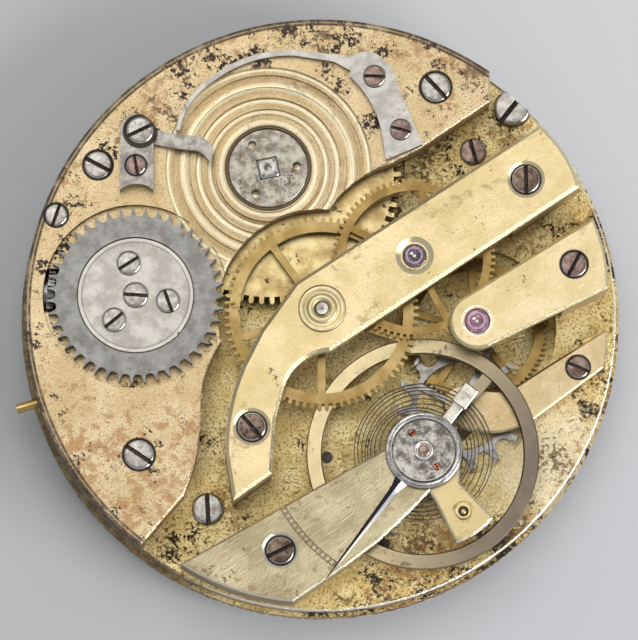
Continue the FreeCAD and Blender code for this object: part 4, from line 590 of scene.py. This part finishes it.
# detailed pieces: every shape is (vertices in millimetres, faces, material number of each face)
def placed(name, shapes, finishes, body, node, sharp=32.0):
    # one mesh of several shapes that stands for a node
    points = np.vstack([shape[0] for shape in shapes]) * mm
    faces, kinds, start = [], [], 0
    for vertices, polygons, kind in shapes:
        faces += [tuple(int(k) + start for k in polygon) for polygon in polygons]
        kinds += list(kind)
        start += len(vertices)
    mesh = bpy.data.meshes.new(name)
    mesh.from_pydata(points.tolist(), [], faces)
    for finish in finishes:
        mesh.materials.append(finish)
    mesh.polygons.foreach_set("material_index", kinds)
    mesh.polygons.foreach_set("use_smooth", [True] * len(faces))
    mesh.set_sharp_from_angle(angle=math.radians(sharp))
    mesh.update()
    piece = bpy.data.objects.new(name, mesh)
    bpy.context.scene.collection.objects.link(piece)
    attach(piece, body)
    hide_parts(node)


def loft(loops, kinds, closed=False):
    # joins loops of equal length from the first to the last; the ends close on their middle, or on each other
    count = len(loops[0])
    vertices = np.vstack(loops)
    faces, material = [], []
    spans = len(loops) if closed else len(loops) - 1
    for i in range(spans):
        a, b = i * count, ((i + 1) % len(loops)) * count
        for j in range(count):
            k = (j + 1) % count
            faces.append((a + j, a + k, b + k, b + j))
            material.append(kinds[i])
    if not closed:
        low, high = len(vertices), len(vertices) + 1
        vertices = np.vstack([vertices, loops[0].mean(0), loops[-1].mean(0)])
        last = (len(loops) - 1) * count
        for j in range(count):
            k = (j + 1) % count
            faces += [(low, k, j), (high, last + j, last + k)]
            material += [kinds[0], kinds[-1]]
    return vertices, faces, material


def lathe(profile, centre, kinds=None, closed=False, segments=72):
    # profile (radius, height) turned about the centre, from below outwards and up
    turn = np.linspace(0, 2 * np.pi, segments, endpoint=False)
    loops = [np.column_stack([centre[0] + r * np.cos(turn), centre[1] + r * np.sin(turn), np.full(segments, z)])
             for r, z in profile]
    return loft(loops, kinds or [0] * len(loops), closed)


def screwShape(place, radius, seat, top, shank, end, slotAngle, kind, flat=None):
    # a head whose height over (x, y) is: top, less a dome, less a rounded edge, less the worn slot;
    # chords across the slot fill the circle, then a skirt and the shank close it below
    half = 0.13 * radius
    depth = 0.62 * (top - seat)
    outer = -radius + (radius - half - 0.02) * np.linspace(0, 1, 10) ** 1.5
    across = np.concatenate([outer, [-half + 0.006, -half / 3, half / 3, half - 0.006], -outer[::-1]])
    along = np.sin(np.linspace(-np.pi / 2, np.pi / 2, 23))
    x = np.repeat(across[1:-1, None], len(along), 1)
    y = along[None, :] * np.sqrt(radius ** 2 - x ** 2)

    def height(x, y):
        r = np.hypot(x, y)
        rim = np.clip((r - 0.86 * radius) / (0.14 * radius), 0, 1)
        z = top - 0.03 * (r / radius) ** 2 - 0.09 * radius * rim ** 2
        lip = np.exp(-((np.abs(x) - half - 0.05) / 0.05) ** 2)
        z = z + lip * 0.012 * np.sin(9.0 * y / radius + 3.0 * place[0])
        return np.where(np.abs(x) < half, top - depth + 0.012 * np.cos(11.0 * y + place[1]), z)

    rows, columns = x.shape
    z = height(x, y)
    ends = np.array([[-radius, 0, height(np.array(-radius), np.array(0.0))],
                     [radius, 0, height(np.array(radius), np.array(0.0))]], float)
    points = np.vstack([np.column_stack([x.ravel(), y.ravel(), z.ravel()]), ends])
    first, last = rows * columns, rows * columns + 1
    faces, kinds = [], []

    def part(i):
        return 3 if 8 <= i <= 12 else kind

    for i in range(rows - 1):
        for j in range(columns - 1):
            a = i * columns + j
            faces.append((a, a + columns, a + columns + 1, a + 1))
            kinds.append(part(i))
    tail = (rows - 1) * columns
    for j in range(columns - 1):
        faces += [(first, j, j + 1), (tail + j, last, tail + j + 1)]
        kinds += [kind, kind]
    edge = [first] + [i * columns + columns - 1 for i in range(rows)] + [last]
    edge += [i * columns for i in range(rows - 1, -1, -1)]
    rim = points[edge]
    flatRim = rim[:, :2] / radius
    start = len(points)
    loops = [np.column_stack([flatRim * r, np.full(len(edge), z)])
             for r, z in ((radius, seat), (shank, seat - 0.001), (shank, end))]
    points = np.vstack([points] + loops + [[[0, 0, end]]])
    count = len(edge)
    levels = [edge] + [[start + n * count + k for k in range(count)] for n in range(3)]
    for above, below in zip(levels[:-1], levels[1:]):
        for k in range(count):
            m = (k + 1) % count
            faces.append((above[k], above[m], below[m], below[k]))
            kinds.append(kind)
    bottom = len(points) - 1
    for k in range(count):
        faces.append((levels[-1][k], levels[-1][(k + 1) % count], bottom))
        kinds.append(kind)
    if flat is not None:
        # one side is cut flat: no point lies further out than that, towards the rim
        out = math.radians(flat[0] - slotAngle + 90.0)
        way = np.array([math.cos(out), math.sin(out)])
        over = np.clip(points[:, :2] @ way - flat[1], 0, None)
        points[:, :2] -= over[:, None] * way
    a = math.radians(slotAngle - 90.0)
    turned = np.column_stack([points[:, 0] * math.cos(a) - points[:, 1] * math.sin(a) + place[0],
                              points[:, 0] * math.sin(a) + points[:, 1] * math.cos(a) + place[1], points[:, 2]])
    return turned, faces, kinds


def screwPlaces():
    # node: each screw as place, head radius, seat, top, shank radius, end, slot angle, steel (0 grey, 1 brown, 2 dark)
    cap = [(polar(102.0, 2.35, crownAxis), 33.0, 4.1), (polar(-10.0, 2.35, crownAxis), 110.0, 4.1),
           (polar(230.0, 2.35, crownAxis), 40.0, 4.6)]
    return {
        "bridge_screws": [((-18.96, 6.84), 0.8, 4.95, 5.4, 0.42, 1.5, 71.0, 0),
                          ((-16.0, 10.49), 1.0, 4.9, 5.4, 0.5, 1.4, 152.0, 0),
                          ((-12.97, -10.39), 1.08, 4.9, 5.4, 0.5, 1.4, 146.0, 0),
                          ((8.17, 16.26), 1.08, 4.9, 5.4, 0.5, 1.4, 133.0, 0),
                          ((14.57, 9.4), 1.0, 5.75, 6.25, 0.5, 1.4, 91.0, 2),
                          ((-4.98, -8.49), 1.0, 5.75, 6.25, 0.5, 1.4, 131.0, 2)],
        "cock_screws": [((17.97, 3.28), 0.93, 5.65, 6.15, 0.5, 1.3, 62.0, 1),
                        ((18.39, -3.72), 0.8, 2.95, 3.35, 0.42, 1.2, 157.0, 1),
                        ((-2.94, -17.2), 1.0, 4.88, 5.38, 0.5, 1.3, 26.0, 2)],
        "click_screws": [((-12.99, 12.76), 0.95, 6.35, 6.75, 0.4, 4.0, 26.0, 0),
                         ((-13.28, 10.28), 0.7, 6.1, 6.5, 0.36, 4.0, 100.0, 1)],
        "click_spring_screws": [((3.76, 16.9), 0.78, 5.65, 6.05, 0.36, 4.0, 178.0, 1),
                                ((5.63, 13.03), 0.74, 5.65, 6.05, 0.36, 4.1, 165.0, 1)],
        "crown_cap_screws": [(place, 0.84, 5.55, 5.9, 0.35, end, angle, 0) for place, angle, end in cap]
                            + [(crownAxis, 0.88, 5.55, 5.9, 0.4, 4.1, 176.0, 0)],
        "plate_screws": [((10.97, 12.07), 0.95, 2.3, 2.8, 0.45, 0.6, 105.0, 1),
                         ((-8.08, -13.92), 1.12, 2.3, 2.8, 0.5, 0.6, 93.0, 0)],
    }


def makeScrews():
    for node, screws in screwPlaces().items():
        shapes = [screwShape(*screw) for screw in screws]
        if node == "plate_screws":
            outward = math.degrees(math.atan2(caseScrewPlace[1], caseScrewPlace[0]))
            shapes.append(screwShape(caseScrewPlace, 1.3, 2.45, 3.05, 0.55, 0.85, 52.0, 0, (outward, 0.6)))
        placed(node + "_worn", shapes, [greySteel, brownSteel, blackSteel, slotShadeAndDirt], "movement", node)
    dots = [screwShape(polar(angle, 1.5, balanceAxis), 0.24, 5.68, 5.83, 0.12, 5.0, slot, 0)
            for angle, slot in ((125.0, 40.0), (-52.0, 120.0))]
    placed("endstone_screws_worn", dots, [copperBright, copperBright, copperBright, slotShadeAndDirt], "movement",
           "endstone_screws")


def makeHairspring():
    # flat strip whose radius holds for the outer arc, then falls evenly to the collet over 14 turns,
    # with a slow eccentric sway as a worn spring has
    outerRadius, innerRadius, turns = 4.97, 1.0, 14.0
    t = np.linspace(0, turns * 2 * np.pi, int(turns * 64) + 1)
    outerArc = math.radians(152.0)
    share = np.clip((t - outerArc) / (t[-1] - outerArc), 0, 1)
    radius = outerRadius + (innerRadius - outerRadius) * share
    sway = 0.22 * np.sin(np.pi * share)
    radius = radius + 0.11 * np.sin(np.pi * share) * np.sin(2.0 * t + 0.16 * t)
    angle = math.radians(-57.0) + t
    middle = np.column_stack([balanceAxis[0] + radius * np.cos(angle) - sway, balanceAxis[1] + radius * np.sin(angle)
                              + 0.5 * sway])
    normal = np.column_stack([np.cos(angle), np.sin(angle)])
    half, low, high = 0.03, 4.25, 4.45
    loops = []
    for place, way in zip(middle, normal):
        inner, outer = place - half * way, place + half * way
        loops.append(np.array([[inner[0], inner[1], low], [inner[0], inner[1], high],
                               [outer[0], outer[1], high], [outer[0], outer[1], low]]))
    placed("hairspring_coils", [loft(loops, [0] * len(loops))], [springSteel], "movement", "hairspring")


def makeJewels():
    # convex stones with an oil cup: a dome of quarter-round rim and a dished middle round the hole
    def stone(centre, radius, low, high, hole, kind):
        rise = high - low
        profile = [(hole, low), (radius, low), (radius, low + 0.55 * rise), (0.94 * radius, low + 0.8 * rise),
                   (0.8 * radius, low + 0.95 * rise), (0.6 * radius, high), (0.42 * radius, high - 0.04),
                   (0.3 * radius, high - 0.12), (hole, high - 0.17)]
        return lathe(profile, centre, [kind] * 9, True)

    ring = lathe([(0.93, 5.6), (1.09, 5.6), (1.09, 6.1), (1.05, 6.14), (0.97, 6.14), (0.93, 6.1)], fourthAxis, [2] * 6,
                 True)
    purple = ruby("purple_ruby", tone(66, 44, 54), tone(104, 74, 92), tone(190, 170, 190))
    pink = ruby("pink_ruby", tone(120, 76, 96), tone(164, 116, 136), tone(224, 196, 208))
    shapes = [stone(thirdAxis, 0.87, 5.7, 6.14, 0.15, 0), stone(fourthAxis, 0.92, 5.6, 6.12, 0.15, 1),
              stone(escapeAxis, 0.45, 2.9, 3.22, 0.13, 1), stone(balanceAxis, 0.6, 4.85, 5.32, 0.13, 0), ring]
    placed("train_jewels_domed", shapes, [purple, pink, regulatorSteel], "movement", "train_jewels")
    garnet = ruby("dull_garnet", tone(96, 56, 44), tone(140, 98, 80), tone(226, 206, 190))
    profile = [(0.72, 5.5), (0.72, 5.74), (0.67, 5.78), (0.56, 5.78), (0.45, 5.68), (0.42, 5.72), (0.3, 5.77),
               (0.12, 5.79)]
    placed("endstone_set", [lathe(profile, balanceAxis, [0, 0, 0, 0, 0, 1, 1, 1])], [regulatorSteel, garnet],
           "movement", "endstone")


def makeBushing():
    # turned collar with two polished beads and a groove between them
    profile = [(0.45, 5.15), (1.2, 5.15), (1.2, 6.0), (1.66, 6.0), (1.66, 6.2), (1.6, 6.26), (1.46, 6.28),
               (1.33, 6.25), (1.28, 6.17), (1.1, 6.15), (1.04, 6.22), (0.96, 6.27), (0.8, 6.28), (0.66, 6.25),
               (0.55, 6.15), (0.45, 6.1)]
    placed("centre_bushing_turned", [lathe(profile, (0, 0), None, True)], [hubBrass], "movement", "centre_bushing")


def makeStud():
    # stud with a rim, a dark groove and a pin in the middle
    profile = [(0.42, 4.1), (0.42, 5.4), (0.58, 5.41), (0.57, 5.47), (0.5, 5.49), (0.38, 5.48), (0.32, 5.4),
               (0.2, 5.38), (0.18, 5.44), (0.12, 5.48), (0.05, 5.49)]
    placed("hairspring_stud_pinned", [lathe(profile, studPlace, [0, 0, 0, 0, 0, 1, 1, 1, 0, 0, 0], False, 40)],
           [smallBrass, slotShadeAndDirt], "movement", "hairspring_stud")


def makeArbor():
    # barrel arbor: turned below, and above a square that grows from the circle as a superellipse,
    # with rounded corners and a blunt worn top
    turn = np.linspace(0, 2 * np.pi, 64, endpoint=False)
    loops = [np.column_stack([r * np.cos(turn), r * np.sin(turn), np.full(64, z)])
             for r, z in ((0.8, 0.35), (0.8, 1.56), (1.7, 1.56), (1.7, 3.04), (1.2, 3.04), (1.2, 4.7))]
    for half, power, z in ((0.72, 14.0, 4.7), (0.72, 14.0, 5.2), (0.69, 9.0, 5.32), (0.58, 6.0, 5.41),
                           (0.34, 3.0, 5.44), (0.2, 2.0, 5.4), (0.06, 2.0, 5.36)):
        r = half / (np.abs(np.cos(turn)) ** power + np.abs(np.sin(turn)) ** power) ** (1.0 / power)
        loops.append(np.column_stack([r * np.cos(turn), r * np.sin(turn), np.full(64, z)]))
    a = math.radians(seatTurn)
    spin = np.array([[math.cos(a), math.sin(a), 0], [-math.sin(a), math.cos(a), 0], [0, 0, 1]])
    loops = [loop @ spin + np.array([barrelAxis[0], barrelAxis[1], 0]) for loop in loops]
    placed("barrel_arbor_worn", [loft(loops, [0] * len(loops))], [polishedSteel], "winding_arbor", "barrel_arbor", 28.0)


def makeRegulator():
    # half-round ring, a stepped arm with two curb pins, and a ridged index that tapers to a point
    ring = lathe([(2.26, 5.43), (2.75, 5.43), (2.75, 5.7), (2.71, 5.8), (2.63, 5.87), (2.52, 5.9), (2.4, 5.87),
                  (2.31, 5.79), (2.26, 5.68)], balanceAxis, None, True, 120)
    along = np.array(polar(53.0, 1.0))
    aside = np.array(polar(143.0, 1.0))

    def section(reach, corners):
        return np.array([[*(np.array(balanceAxis) + reach * along + across * aside), z] for across, z in corners])

    def armSection(reach, half, top):
        return section(reach, [(-half, 5.43), (half, 5.43), (half, top - 0.06), (half - 0.07, top),
                               (-half + 0.07, top), (-half, top - 0.06)])

    arm = [armSection(*s) for s in ((2.45, 0.42, 5.58), (3.6, 0.4, 5.58), (4.05, 0.44, 5.58), (4.1, 0.56, 5.6),
                                    (4.16, 0.58, 5.7), (4.95, 0.58, 5.72), (5.0, 0.56, 5.66), (5.06, 0.56, 5.66),
                                    (5.1, 0.58, 5.72), (5.68, 0.57, 5.7), (5.75, 0.52, 5.62))]
    index = []
    for s in np.linspace(0, 1, 24):
        reach = 2.5 + 9.6 * s
        half = 0.56 - 0.22 * min(1.0, s / 0.1) - 0.3 * s
        edge = 5.5 - 0.03 * s
        ridge = 5.78 - 0.18 * s
        index.append(section(-reach, [(-half, 5.43), (-half, edge), (-0.16 * half, ridge), (-0.08 * half, ridge),
                                      (half, edge), (half, 5.43)]))
    pins = [lathe([(0.1, 4.15), (0.1, 5.72), (0.07, 5.78)],
                  tuple(np.array(balanceAxis) + reach * along), None, False, 16) for reach in (4.73, 5.21)]
    shapes = [ring, loft(arm[::-1], [1] * len(arm)), loft(index[::-1], [2] * len(index))] + pins
    armSteel = steel("pale_regulator_arm", tone(212, 206, 192), tone(180, 172, 156), 0.72, 0.38)
    placed("regulator_polished", shapes, [regulatorSteel, armSteel, indexSteel()], "regulator", "regulator", 24.0)


makeScrews()
makeHairspring()
makeJewels()
makeBushing()
makeStud()
makeArbor()
makeRegulator()
print("stage: detailed pieces")


# floor, light and camera
def makeFloor():
    mesh = bpy.data.meshes.new("floor")
    half = 0.6
    low = float(cadBox[0][2]) - 0.0001
    corners = [(-half, -half, low), (half, -half, low), (half, half, low), (-half, half, low)]
    mesh.from_pydata(corners, [], [(0, 1, 2, 3)])
    floor = bpy.data.objects.new("floor", mesh)
    bpy.context.scene.collection.objects.link(floor)
    f = Finish("table_painted_falloff", 0.0, 0.7)
    # painted light and shade: the table colour grades darker towards the left and the bottom
    across = f.rise(f.axis("X"), -20.0 * mm, 24.0 * mm)
    up = f.rise(f.axis("Y"), -22.0 * mm, 22.0 * mm)
    f.set("Base Color", f.blend(across, f.blend(up, tone(179, 180, 180), tone(193, 194, 193)),
                                f.blend(up, tone(190, 191, 195), tone(198, 199, 201))))
    f.set("Specular IOR Level", 0.2)
    f.bump(f.noise(0.5, 3), 0.01, 0.2)
    mesh.materials.append(f.material)


def addLight(name, place, target, width, height, power, colour=(1, 1, 1)):
    # a soft panel that faces a target point, sizes in metres
    data = bpy.data.lights.new(name, "AREA")
    data.shape = "RECTANGLE"
    data.size = width
    data.size_y = height
    data.energy = power
    data.color = colour
    lamp = bpy.data.objects.new(name, data)
    bpy.context.scene.collection.objects.link(lamp)
    lamp.location = place
    lamp.rotation_mode = "QUATERNION"
    lamp.rotation_quaternion = (Vector(target) - Vector(place)).to_track_quat("-Z", "Y")


def makeWorld():
    world = bpy.data.worlds.new("studio")
    bpy.context.scene.world = world
    world.use_nodes = True
    ground = world.node_tree.nodes["Background"]
    ground.inputs["Color"].default_value = (0.9, 0.91, 0.93, 1)
    ground.inputs["Strength"].default_value = 0.5


def makeCamera():
    # the photograph looks down from the lower side, 9 degrees off the vertical
    data = bpy.data.cameras.new("camera")
    data.sensor_width = 36.0
    distance = 0.42
    acrossPixels = 640
    pixel = 0.07215 * mm
    data.lens = 36.0 * distance / (acrossPixels * pixel)
    back = np.array([-math.sin(math.radians(1.2)), -math.sin(math.radians(9.03)), 0.0])
    back[2] = math.sqrt(1.0 - back[0] ** 2 - back[1] ** 2)
    target = np.array([-1.2 * pixel, 2.2 * pixel / 0.988, 0.0])
    camera = bpy.data.objects.new("camera", data)
    bpy.context.scene.collection.objects.link(camera)
    right = np.cross([0.0, 1.0, 0.0], back)
    right /= np.linalg.norm(right)
    turn = Matrix(np.column_stack([right, np.cross(back, right), back]).tolist())
    camera.matrix_world = Matrix.Translation(target + back * distance) @ turn.to_4x4()
    data.clip_start = 0.01
    data.clip_end = 10.0
    bpy.context.scene.camera = camera


makeFloor()
addLight("windowRight", (0.5, -0.3, 0.3), (0, 0, 0), 0.4, 0.4, 4.0, (1.0, 0.99, 0.97))
addLight("softTop", (-0.1, 0.25, 0.7), (0, 0, 0), 0.5, 0.5, 2.0, (0.98, 0.99, 1.0))
makeWorld()
makeCamera()
bpy.context.scene.view_settings.view_transform = "Standard"
print("stage: light and camera")
